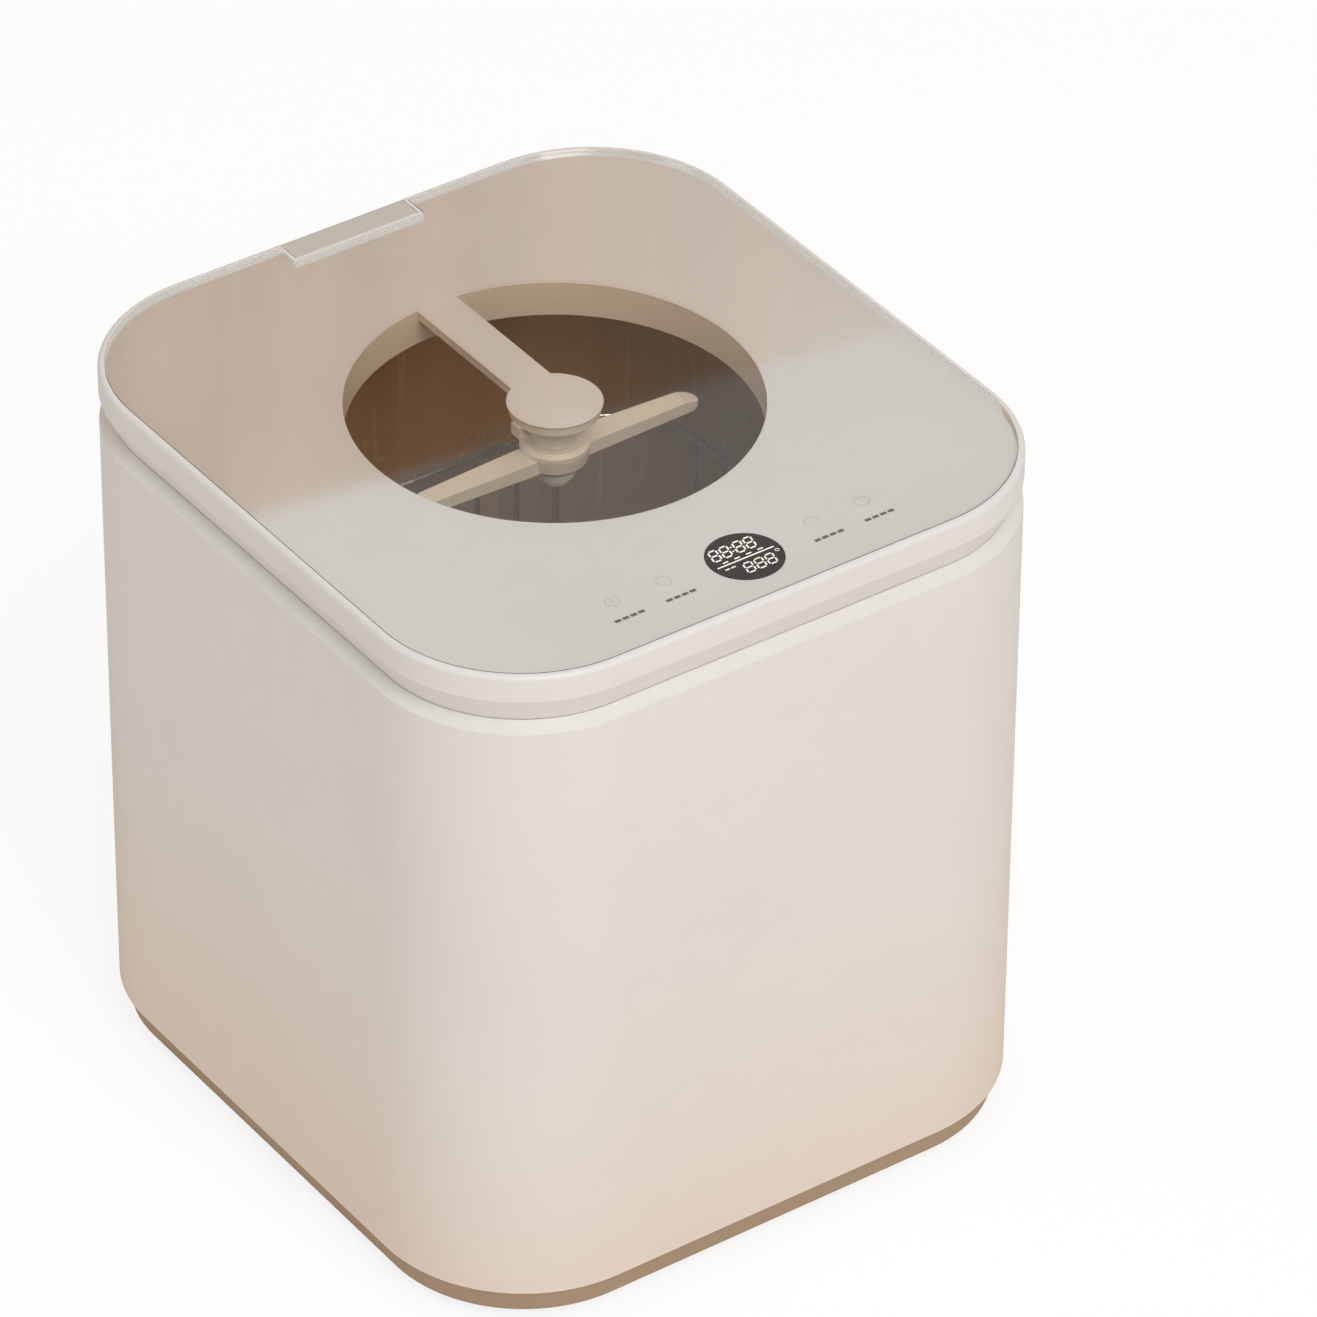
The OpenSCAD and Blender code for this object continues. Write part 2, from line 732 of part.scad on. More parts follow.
module upper_hub() color(white) difference() {
  union() {
    zcyl(0, window_y, duct_z - 4, 21, 4);
    zcyl(0, window_y, duct_z - 7, 17, 4);
    zcyl(0, window_y, hub_shoulder_z, 13, duct_z - 4 - hub_shoulder_z);
    zcyl(0, window_y, arm_under_z - end_play, hub_r, lid_h);
    // Lug that keys the hub to the duct
    box([-26, -18], [window_y - 4, window_y + 4], [duct_z - 7, duct_z]);
  }
  zcyl(0, window_y, arm_under_z - 2, way_r, lid_h + 20);
  box([-hub_r - 1, hub_r + 1], [window_y - 3, window_y + 3], [arm_under_z + 4, arm_under_z + 10]);
  zcyl(0, window_y, duct_z, 30, 20);
}

module upper_hub_cap() color(white) difference() {
  union() {
    zcyl(0, window_y, arm_under_z - end_play - upper_cap_h + 4, 11, upper_cap_h - 4);
    zcyl(0, window_y, arm_under_z - end_play - upper_cap_h, 8, 4);
  }
}

// Half of an arm in plan, from the hub out along +X to a round tip
module arm_plan(l, root, tip) {
  polygon([[0, -root], [0, root], [l - tip, tip], [l - tip, -tip]]);
  translate([l - tip, 0]) circle(tip);
}

// Half of an arm in side view, bevelled at the tip
module arm_side(l, h) polygon([
  [0, 0], [l - 6, 0], [l, 2], [l, h - 4.5], [l - 10, h - 1.5], [0, h]
]);

module arm_half(l, root, tip, h) intersection() {
  linear_extrude(h) arm_plan(l, root, tip);
  translate([0, root + 1, 0]) rotate([90, 0, 0]) linear_extrude(2 * root + 2) arm_side(l, h);
}

// Nozzles, on alternating sides of the blade's middle line
module nozzles(l, first, h) for (k = [0:nozzle_n - 1])
  translate([first + k * (l - first - 10) / (nozzle_n - 1), k % 2 == 0 ? 1.5 : -1.5, -1])
    cylinder(r = 1.1, h = h);

module upper_spray_arm() color(white) translate([0, window_y, arm_under_z]) difference() {
  union() {
    rotate_extrude() polygon([
      [0, 0], [14, 0], [18, 4], [19.5, 12], [19.5, 14.5], [17, 16.6], [0, 16.6]
    ]);
    for (a = [0, 180]) rotate(a) translate([0, 0, 3]) arm_half(upper_arm_l, 9, 6, 8.5);
  }
  translate([0, 0, -1]) cylinder(r = hub_r + run_clear, h = 20);
  for (a = [0, 180]) rotate(a) translate([0, 0, 3]) nozzles(upper_arm_l, 28, 4);
}

module feed_spout() color(white) difference() {
  zcyl(0, spout_y, deck_under - 12, spout_r, deck_z - deck_under + 12);
  zcyl(0, spout_y, deck_under - 13, way_r, 30);
}

module spout_seal() color(rubber) difference() {
  zcyl(0, spout_y, deck_z, spout_r, seal_gap + 0.5);
  zcyl(0, spout_y, deck_z - 1, way_r, 5);
}

// ---------- Latch ----------

module striker_slot(z) box([-striker_t, striker_t],
  [latch_y - striker_w / 2 - slot_front, latch_y + striker_w / 2 + slot_back], z);

module latch_striker() color(steel) difference() {
  box([-striker_t / 2, striker_t / 2], [latch_y - striker_w / 2, latch_y + striker_w / 2],
    [bolt_z - 6, liner_z]);
  box([-striker_t, striker_t], [latch_y - bolt_r - 0.8, latch_y + bolt_r + 0.8],
    [bolt_z - bolt_r - 1, bolt_z + bolt_r + 1]);
}

module latch_housing() color(dark) difference() {
  box([-14, 46], [latch_front, latch_back], [bolt_z - 9, deck_under - tub_wall]);
  striker_slot([bolt_z - 7, deck_z]);
  xcyl(-10, latch_y, bolt_z, bolt_r + run_clear, 60);
  xcyl(20, latch_y, bolt_z, solenoid_r, 24);
}

module lock_bolt() color(steel)
  xcyl(striker_t + 2, latch_y, bolt_z, bolt_r, 37);

module lock_solenoid() color([0.55, 0.30, 0.12]) difference() {
  xcyl(20, latch_y, bolt_z, solenoid_r, 18);
  xcyl(19, latch_y, bolt_z, bolt_r + run_clear, 20);
}

// ---------- Detergent cup ----------

module detergent_cup() color(white) difference() {
  union() {
    box([cup_x - cup_w / 2, cup_x + cup_w / 2], [cup_y - cup_d / 2, cup_y + cup_d / 2],
      [cup_under, cup_under + cup_h]);
    box([cup_x - cup_w / 2 - cup_flange, cup_x + cup_w / 2 + cup_flange],
      [cup_y - cup_d / 2 - cup_flange, cup_y + cup_d / 2 + cup_flange], [cup_under, liner_z]);
    // Lugs that hold the flap's pin
    for (s = [-1, 1]) translate([cup_x + s * (cup_w / 2 + 1), 0, 0]) {
      xcyl(-2, flap_y, flap_z, 2.8, 4);
      box([-2, 2], [cup_y, flap_y + 2.8], [flap_z, liner_z]);
    }
  }
  box([cup_x - cup_w / 2 + cup_t, cup_x + cup_w / 2 - cup_t],
    [cup_y - cup_d / 2 + cup_t, cup_y + cup_d / 2 - cup_t],
    [cup_under - 1, cup_under + cup_h - cup_t]);
  // Room for the flap's barrel
  xcyl(cup_x - cup_w / 2 + 1, flap_y, flap_z, flap_r + 0.4, cup_w - 2);
  xcyl(cup_x - cup_w, flap_y, flap_z, flap_pin_r, 2 * cup_w);
}

module detergent_flap() color(white) difference() {
  union() {
    box([cup_x - cup_w / 2 + 1.5, cup_x + cup_w / 2 - 1.5], [cup_y - cup_d / 2 - 1, flap_y],
      [cup_under - 0.3 - 1.5, cup_under - 0.3]);
    xcyl(cup_x - cup_w / 2 + 1.5, flap_y, flap_z, flap_r, cup_w - 3);
  }
  xcyl(cup_x - cup_w, flap_y, flap_z, flap_pin_r + run_clear, 2 * cup_w);
}

module flap_pin() color(steel) xcyl(cup_x - cup_w / 2 - 3, flap_y, flap_z, flap_pin_r, cup_w + 6);

// ---------- Racks ----------

// Half the rack's width at a distance v from its middle line, inside the wires
function half_span(v, half, other) =
  let (r = rack_r - wire_in, over = abs(v) - (other - wire_in - r))
    half - wire_in - (over > 0 ? r - sqrt(r * r - over * over) : 0);

wires_at = [for (k = [-4:4]) k * wire_pitch];
ring_heights = [45, rack_h];

// Wire rack: a mat of crossing wires, a panel of upturned wires on each side, two rings and four feet
module dish_rack() color(wire_grey) translate([0, tub_y, 0]) {
  for (v = wires_at) floor_wire(v, rack_w / 2, rack_d / 2, rack_z);
  for (v = wires_at) rotate(90) floor_wire(v, rack_d / 2, rack_w / 2, cross_z);
  rack_panel(rack_w / 2, rack_d / 2, rack_z);
  rotate(180) rack_panel(rack_w / 2, rack_d / 2, rack_z);
  rotate(90) rack_panel(rack_d / 2, rack_w / 2, cross_z);
  rotate(270) rack_panel(rack_d / 2, rack_w / 2, cross_z);
  // Corners of the rings, each of two arcs
  for (x = [0, 1], y = [0, 1], h = ring_heights, turn = [0, 45]) mirror([x, 0, 0]) mirror([0, y, 0])
    translate([rack_w / 2 - rack_r, rack_d / 2 - rack_r, rack_z + h])
      rotate(turn) rotate_extrude(angle = 45 - seam_turn) translate([rack_r - ring_r, 0]) circle(ring_r);
  // Feet under the outermost wires
  for (x = [-1, 1], y = [-1, 1]) rack_foot(x * 4 * wire_pitch, y * 4 * wire_pitch);
}

module floor_wire(v, half, other, z) {
  x = half_span(v, half, other) - wire_turn;
  xcyl(-x, v, z, wire_r, 2 * x);
}

// Where the floor's wires turn up, with the stretch of the rings that they are welded to
module rack_panel(half, other, z) {
  for (v = wires_at) {
    x = half_span(v, half, other);
    bar([[x - wire_turn + seam, v, z], [x, v, z], [x, v, rack_z + rack_h]], wire_r, wire_bend);
  }
  for (h = ring_heights) translate([half - ring_r, rack_r - other + seam, rack_z + h])
    rotate([-90, 0, 0]) cylinder(r = ring_r, h = 2 * (other - rack_r - seam));
}

module rack_foot(x, y) difference() {
  zcyl(x, y, tub_floor + 0.3, 2 * ring_r, rack_z - tub_floor - 0.3);
  xcyl(x - 20, y, rack_z, wire_r + seam, 40);
}

tine_rows = [25, 95];

module plate_tines() color(wire_grey) translate([0, tub_y, 0]) for (y = tine_rows) {
  xcyl(-5 * tine_pitch - 6, y, tine_z, wire_r, 10 * tine_pitch + 12);
  for (k = [-5:5]) {
    zcyl(k * tine_pitch, y, tine_z, wire_r, tine_h);
    translate([k * tine_pitch, y, tine_z + tine_h]) cylinder(r1 = wire_r, r2 = 0.9, h = 1.5);
  }
}

basket_x = [80, 144];
basket_y = [tub_y - 135, tub_y - 55];
basket_z = cross_z + wire_r + 0.3;
basket_h = 98;
basket_t = 1.8;

module cutlery_basket() color([0.72, 0.71, 0.69]) difference() {
  union() {
    box(basket_x, basket_y, [basket_z, basket_z + basket_h]);
    // Strap handle
    translate([(basket_x[0] + basket_x[1]) / 2 - 4, basket_y[0], basket_z + basket_h - 10])
      cube([8, basket_y[1] - basket_y[0], 34]);
  }
  // Compartments
  for (k = [0, 1]) {
    w = (basket_x[1] - basket_x[0] - 3 * basket_t) / 2;
    x = basket_x[0] + basket_t + k * (w + basket_t);
    box([x, x + w], [basket_y[0] + basket_t, basket_y[1] - basket_t],
      [basket_z + basket_t, basket_z + basket_h + 1]);
  }
  box([basket_x[0] + 20, basket_x[1] - 20], [basket_y[0] + 8, basket_y[1] - 8],
    [basket_z + basket_h - 1, basket_z + basket_h + 20]);
  // Slots in the long walls, the short walls and the floor
  for (k = [0:8]) box([basket_x[0] - 1, basket_x[1] + 1],
    [basket_y[0] + 6 + 8 * k, basket_y[0] + 10 + 8 * k], [basket_z + 8, basket_z + 80]);
  for (k = [0:2], s = [0, 1]) box(
    [basket_x[0] + 6 + 8 * k + 31 * s, basket_x[0] + 10 + 8 * k + 31 * s],
    [basket_y[0] - 1, basket_y[1] + 1], [basket_z + 8, basket_z + 80]);
  for (k = [0:8], s = [0, 1]) box([basket_x[0] + 6 + 31 * s, basket_x[0] + 27 + 31 * s],
    [basket_y[0] + 6 + 8 * k, basket_y[0] + 10 + 8 * k], [basket_z - 1, basket_z + 3]);
}

// ---------- Sump and lower arm ----------

filter_x = 32;
filter_r = 20;
post_r = 10;

module sump() color([0.45, 0.45, 0.44]) translate([0, tub_y, 0]) difference() {
  union() {
    zcyl(0, 0, tub_under - 2, sump_r + 9, 2);
    zcyl(0, 0, sump_floor, sump_r + 2, sump_h);
    for (p = sump_ports) zcyl(p[0], p[1], sump_floor - 8, p[2], 10);
    zcyl(0, 0, sump_floor - 8, feed_r, 10);
  }
  difference() {
    zcyl(0, 0, sump_floor + 2, sump_r, sump_h);
    zcyl(0, 0, sump_floor, post_r, 6);
  }
  for (p = sump_ports) zcyl(p[0], p[1], sump_floor - 9, p[2] - 2, 20);
  zcyl(0, 0, sump_floor - 9, way_r, 40);
}

// Ports in the sump's floor, as (x, y, radius): suction, drain, water in
sump_ports = [[-38, -30, 9], [36, 25, 7], [-20, 38, 5]];

module filter_plate() color(steel) translate([0, tub_y, 0]) difference() {
  zcyl(0, 0, tub_floor, sump_r + 5, 1.2);
  zcyl(0, 0, tub_floor - 1, post_r + 0.3, 4);
  zcyl(filter_x, 0, tub_floor - 1, filter_r + 0.3, 4);
  for (ring = [0:2], k = [0:4 + 2 * ring + 5]) rotate(360 * k / (10 + 2 * ring))
    translate([18 + 13 * ring, 0, tub_floor - 1]) cylinder(r = 2.2, h = 4);
}

module filter_cup() color([0.55, 0.56, 0.56]) translate([filter_x, tub_y, 0]) difference() {
  union() {
    zcyl(0, 0, sump_floor + 4, filter_r - 1, tub_floor - sump_floor - 1);
    zcyl(0, 0, tub_floor + 1.5, filter_r + 1.5, 1.5);
    box([-filter_r + 7, filter_r - 7], [-2, 2], [tub_floor + 2, tub_floor + 9]);
  }
  difference() {
    zcyl(0, 0, sump_floor + 6, filter_r - 3, 60);
    box([-filter_r, filter_r], [-2, 2], [tub_floor, tub_floor + 9]);
  }
  for (k = [0:11]) rotate(30 * k)
    box([filter_r - 6, filter_r + 1], [-1.5, 1.5], [sump_floor + 10, sump_floor + 28]);
}

module lower_hub() color(white) translate([0, tub_y, 0]) difference() {
  union() {
    zcyl(0, 0, sump_floor + 6, post_r, lower_seat_z - sump_floor - 6);
    zcyl(0, 0, lower_seat_z - 2, 15, 2);
    zcyl(0, 0, lower_seat_z, hub_r, lower_tube_top - lower_seat_z);
  }
  zcyl(0, 0, sump_floor, way_r, lower_tube_top - sump_floor - 3);
  box([-hub_r - 1, hub_r + 1], [-3, 3], [lower_seat_z + 7, lower_seat_z + 13]);
}

module lower_hub_cap() color(white) translate([0, tub_y, 0]) difference() {
  union() {
    zcyl(0, 0, lower_tube_top - 4, 13, 6);
    zcyl(0, 0, lower_tube_top + 2, 9, lower_cap_h - 6);
  }
  zcyl(0, 0, lower_tube_top - 5, hub_r, 5);
}

module lower_spray_arm() color(steel)
  translate([0, tub_y, lower_seat_z + end_play]) difference() {
    union() {
      cylinder(r = 17, h = lower_arm_h);
      for (a = [0, 180]) rotate(a) translate([0, 0, 4]) arm_half(lower_arm_l, 15, 10, 11);
    }
    translate([0, 0, -1]) cylinder(r = hub_r + run_clear, h = 40);
    for (a = [0, 180]) rotate(a) translate([0, 0, 12]) nozzles(lower_arm_l, 30, 10);
  }

heater_r = 115;
heater_wire_r = 4;
heater_leg = 14;
heater_z = tub_floor + 9;
heater_half = asin(heater_leg / heater_r);
heater_y = tub_y + heater_r * cos(heater_half);

// Ring round the tub's floor, with two legs that turn down through it at the back
module heating_element() color([0.42, 0.42, 0.43]) {
  translate([0, tub_y, heater_z]) rotate(90 + heater_half)
    rotate_extrude(angle = 360 - 2 * heater_half) translate([heater_r, 0]) circle(heater_wire_r);
  for (s = [-1, 1])
    zcyl(s * heater_leg, heater_y, tub_under - 14, heater_wire_r,
      heater_z + heater_wire_r - tub_under + 14);
}

float_x = 36 - tub_w / 2;
float_y = tub_y + 62;
float_r = 12;
float_stem_r = 3;

module float_cap() color(white) difference() {
  union() {
    zcyl(float_x, float_y, tub_floor + 0.3, float_r, 13);
    zcyl(float_x, float_y, tub_under - 12, float_stem_r, 30);
  }
  difference() {
    zcyl(float_x, float_y, tub_floor, float_r - 1.5, 11.5);
    zcyl(float_x, float_y, tub_floor - 1, float_stem_r, 20);
  }
}

module float_switch() color(dark) difference() {
  union() {
    zcyl(float_x, float_y, tub_under - 10, 7, 10);
    box([float_x - 9, float_x + 9], [float_y - 7, float_y + 7], [tub_under - 30, tub_under - 10]);
  }
  zcyl(float_x, float_y, tub_under - 20, float_stem_r + 1, 30);
}

// ---------- Machine room ----------

volute_x = [-volute_w / 2, volute_w / 2];
motor_l = 66;
motor_r = 29;

module pump_volute() color(dark) difference() {
  union() {
    xcyl(volute_x[0], pump_y, pump_z, volute_r, volute_w);
    xcyl(volute_x[0] - 8, pump_y, pump_z, 11, 9);
    ycyl(0, pump_y, feed_z, feed_r + 2, manifold_start - pump_y);
  }
  union() {
    xcyl(volute_x[0] + 5, pump_y, pump_z, volute_r - 6, volute_w - 10);
    xcyl(volute_x[0] - 9, pump_y, pump_z, 9, 20);
    xcyl(0, pump_y, pump_z, shaft_r + 1, 20);
    ycyl(0, pump_y, feed_z, feed_r, manifold_start - pump_y + 1);
  }
}

module pump_motor() color([0.55, 0.56, 0.57]) difference() {
  union() {
    xcyl(volute_x[1], pump_y, pump_z, motor_r, motor_l);
    xcyl(volute_x[1] + motor_l, pump_y, pump_z, 20, 5);
  }
  xcyl(volute_x[1] - 1, pump_y, pump_z, shaft_r + run_clear, 45);
  // Cooling grooves
  for (k = [0:5]) rotate_about_pump(60 * k + 30)
    box([volute_x[1] + 8, volute_x[1] + motor_l - 8], [26, 31], [-2, 2]);
}

module rotate_about_pump(a) translate([0, pump_y, pump_z]) rotate([a, 0, 0]) children();

module pump_impeller() color([0.75, 0.75, 0.72]) translate([0, pump_y, pump_z]) {
  xcyl(4, 0, 0, 24, 3);
  xcyl(-6, 0, 0, 7, 12);
  xcyl(0, 0, 0, shaft_r, 45);
  for (k = [0:5]) rotate([60 * k, 0, 0]) box([-5, 4.5], [5, 23], [-1.2, 1.2]);
}

suction_port = sump_ports[0];

module suction_pipe() color(rubber) pipe([
  [suction_port[0], tub_y + suction_port[1], sump_floor - 8],
  [suction_port[0], tub_y + suction_port[1], pump_z],
  [suction_port[0], pump_y, pump_z],
  [volute_x[0] - 8, pump_y, pump_z]
], 10, 2, 12);

manifold_start = pump_y + 42;
manifold_end = tub_y + 35;

module feed_manifold() color([0.30, 0.30, 0.30]) difference() {
  union() {
    ycyl(0, manifold_start, feed_z, feed_r + 2, manifold_end - manifold_start);
    zcyl(0, tub_y, feed_z, feed_r + 2, sump_floor - 8 - feed_z);
    // Casing of the diverter valve
    box([-14, 14], [tub_y - 14, tub_y + 14], [feed_z - 12, feed_z + 12]);
  }
  ycyl(0, manifold_start - 1, feed_z, feed_r, manifold_end - manifold_start + 2);
  zcyl(0, tub_y, feed_z, feed_r, sump_floor - feed_z);
}

module riser_pipe() color(rubber) pipe([
  [0, manifold_end, feed_z],
  [0, spout_y, feed_z],
  [0, spout_y, deck_under - 12]
], spout_r, 1.8, 14);

module drain_pump() color(dark) difference() {
  union() {
    xcyl(drain_x - 12, drain_y, drain_z, drain_r, 24);
    xcyl(drain_x + 12, drain_y, drain_z, 16, 34);
    xcyl(drain_x - 20, drain_y, drain_z, 8, 9);
    ycyl(drain_x, drain_y, drain_z + 11, 8, 28);
  }
  xcyl(drain_x - 8, drain_y, drain_z, 15, 16);
  xcyl(drain_x - 21, drain_y, drain_z, 6, 20);
  xcyl(drain_x, drain_y, drain_z, 2 + run_clear, 36);
  ycyl(drain_x, drain_y, drain_z + 11, 3.5, 29);
}

module drain_rotor() color([0.75, 0.75, 0.72]) translate([drain_x, drain_y, drain_z]) {
  xcyl(-4, 0, 0, 4, 8);
  xcyl(0, 0, 0, 2, 34);
  for (k = [0:3]) rotate([90 * k, 0, 0]) box([-4, 4], [3, 13], [-1, 1]);
}

drain_port = sump_ports[1];

module drain_intake() color(rubber) pipe([
  [drain_port[0], tub_y + drain_port[1], sump_floor - 8],
  [drain_port[0], tub_y + drain_port[1], drain_z],
  [drain_port[0], drain_y, drain_z],
  [drain_x - 20, drain_y, drain_z]
], 7, 1.6, 9);

module drain_hose() color(rubber) difference() {
  union() {
    bar([
      [drain_x, drain_y + 28, drain_z + 11],
      [drain_x, drain_y + 52, drain_z + 11],
      [outlet_x, drain_y + 52, drain_z + 11],
      [outlet_x, pocket_y - 2, port_z]
    ], 8, 10);
    ycyl(outlet_x, pocket_y - 3, port_z, drain_neck_r, 4);
    ycyl(outlet_x, pocket_y, port_z, 9, 13);
  }
  ycyl(outlet_x, pocket_y - 20, port_z, 6.4, 40);
}

module inlet_valve() color([0.80, 0.80, 0.78]) difference() {
  union() {
    box([inlet_x - 16, inlet_x + 16], [pocket_y - 36, pocket_y - 2], [port_z - 14, port_z + 14]);
    zcyl(inlet_x, pocket_y - 20, port_z + 13, 12, 22);
    ycyl(inlet_x, pocket_y - 3, port_z, neck_r, 6);
    ycyl(inlet_x, pocket_y, port_z, 13.2, 13);
    ycyl(inlet_x, pocket_y - 44, port_z, 6, 10);
  }
  ycyl(inlet_x, pocket_y - 45, port_z, 4.5, 80);
}

inlet_port = sump_ports[2];

module inlet_hose() color(rubber) pipe([
  [inlet_x, pocket_y - 44, port_z],
  [inlet_x, tub_y + inlet_port[1], port_z],
  [inlet_port[0], tub_y + inlet_port[1], port_z],
  [inlet_port[0], tub_y + inlet_port[1], sump_floor - 8]
], 6, 1.5, 9);

module power_inlet() color(dark) difference() {
  box([power_x - 12, power_x + 12], [pocket_y - 22, pocket_y], [port_z - 8, port_z + 8]);
  box([power_x - 9, power_x + 9], [pocket_y - 14, pocket_y + 1], [port_z - 5.5, port_z + 5.5]);
}

case_x = [35 - body_w / 2, 128 - body_w / 2];
case_y = [65 - body_d / 2, 160 - body_d / 2];
case_h = 36;

module board_case() color([0.70, 0.69, 0.66]) difference() {
  box(case_x, case_y, [base_floor, base_floor + case_h]);
  box([case_x[0] + 2, case_x[1] - 2], [case_y[0] + 2, case_y[1] - 2],
    [base_floor + 2, base_floor + case_h + 1]);
}

module main_board() color(board_green) {
  board = base_floor + 6;
  box([case_x[0] + 3, case_x[1] - 3], [case_y[0] + 3, case_y[1] - 3], [board, board + 1.6]);
  for (x = [case_x[0] + 10, case_x[1] - 10], y = [case_y[0] + 10, case_y[1] - 10])
    zcyl(x, y, base_floor + 2, 3, 4.5);
  translate([case_x[0], case_y[0], board + 1]) {
    box([45, 70], [10, 35], [0, 19]);
    for (k = [0:2]) zcyl(15 + 14 * k, 75, 0, 5, 17);
    box([10, 25], [15, 50], [0, 13]);
  }
}

// ---------- The whole machine ----------

housing_shell();
rear_cover();
cover_screws();
base_tray();
feet();
foot_pads();
top_deck();
inner_tub();
hinge_block();
hinge_springs();
hinge_pin();
lid_frame();
lid_liner();
lid_screws();
glass_panel();
glass_print();
lid_seal();
touch_board();
touch_springs();
display_module();
water_duct();
upper_hub();
upper_hub_cap();
upper_spray_arm();
feed_spout();
spout_seal();
latch_striker();
latch_housing();
lock_bolt();
lock_solenoid();
detergent_cup();
detergent_flap();
flap_pin();
dish_rack();
plate_tines();
cutlery_basket();
sump();
filter_plate();
filter_cup();
lower_hub();
lower_hub_cap();
lower_spray_arm();
heating_element();
float_cap();
float_switch();
pump_volute();
pump_motor();
pump_impeller();
suction_pipe();
feed_manifold();
riser_pipe();
drain_pump();
drain_rotor();
drain_intake();
drain_hose();
inlet_valve();
inlet_hose();
power_inlet();
board_case();
main_board();
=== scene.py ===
import math

import bmesh
import bpy
from bpy.props import FloatProperty, FloatVectorProperty, PointerProperty
from mathutils import Euler, Matrix, Vector


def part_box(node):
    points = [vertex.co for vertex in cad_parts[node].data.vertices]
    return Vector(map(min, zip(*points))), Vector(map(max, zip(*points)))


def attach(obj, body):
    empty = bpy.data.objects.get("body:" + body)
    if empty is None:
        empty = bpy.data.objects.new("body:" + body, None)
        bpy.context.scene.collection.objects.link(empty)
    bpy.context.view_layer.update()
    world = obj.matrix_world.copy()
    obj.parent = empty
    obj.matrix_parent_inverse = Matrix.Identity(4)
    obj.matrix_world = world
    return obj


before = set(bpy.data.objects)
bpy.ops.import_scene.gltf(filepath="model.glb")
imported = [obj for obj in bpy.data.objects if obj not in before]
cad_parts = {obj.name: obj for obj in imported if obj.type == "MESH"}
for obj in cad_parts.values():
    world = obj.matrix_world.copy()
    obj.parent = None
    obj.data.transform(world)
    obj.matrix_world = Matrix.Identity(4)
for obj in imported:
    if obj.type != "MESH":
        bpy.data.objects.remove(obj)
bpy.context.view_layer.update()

bl_info = {
    "name": "Countertop dishwasher",
    "version": (1, 0, 0),
    "blender": (4, 5, 0),
    "location": "View3D > Sidebar > Dishwasher",
    "description": "Gives a top-loading countertop dishwasher its finishes, display and studio",
    "category": "Object",
}

PRINT_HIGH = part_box("glass_print")[1]
FACE_LOW, FACE_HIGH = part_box("display_module")
GLASS_LOW, GLASS_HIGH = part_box("glass_panel")
CAP_LOW, CAP_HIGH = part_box("upper_hub_cap")
LID_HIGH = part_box("lid_frame")[1]
BLOCK_LOW, BLOCK_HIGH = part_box("hinge_block")
WINDOW_Y = (CAP_LOW.y + CAP_HIGH.y) / 2
DISPLAY_X = (FACE_LOW.x + FACE_HIGH.x) / 2
DISPLAY_Y = (FACE_LOW.y + FACE_HIGH.y) / 2


def screen(red, green, blue):
    """A colour given as it looks on a screen, 0 to 255, as Blender's linear one."""
    return tuple(((c / 255 + 0.055) / 1.055) ** 2.4 if c > 10 else c / 3295 for c in (red, green, blue))


def colour(label, words, red, green, blue):
    return FloatVectorProperty(
        name=label, description=words, subtype="COLOR", min=0, max=1, default=screen(red, green, blue))


def length(label, words, millimetres, low=0.0001, high=1.0):
    return FloatProperty(
        name=label, description=words, subtype="DISTANCE", unit="LENGTH", precision=5,
        default=millimetres / 1000, min=low, max=high)


# The room that the lid's glass mirrors, and the lamps
WOOD_DARK = screen(166, 112, 66)
WOOD_PALE = screen(204, 152, 100)
WALL_PALE = screen(228, 208, 196)
WALL_SIZE = (8.0, 2.0)
WALL_PLACE = (1.24, 1.853, 1.0)
WALL_TURN = math.radians(-7.4)
KEY_SIZE, KEY_PLACE = 3.0, (-0.8, -3.5, 4.4)
FILL_SIZE, FILL_PLACE = 2.5, (-4.0, 0.5, 2.0)
LAMP_AIM = (0, 0, 0.2)

# Keeps the lit segments off the display's face
SEGMENT_LIFT = 0.00002
# Gap at each end of a segment, against its width
SEGMENT_GAP = 0.16
# How strongly the window's film and the pane itself mirror the room
FILM_IOR, PANE_IOR = 1.65, 1.25


# ---------- What a user would change ----------


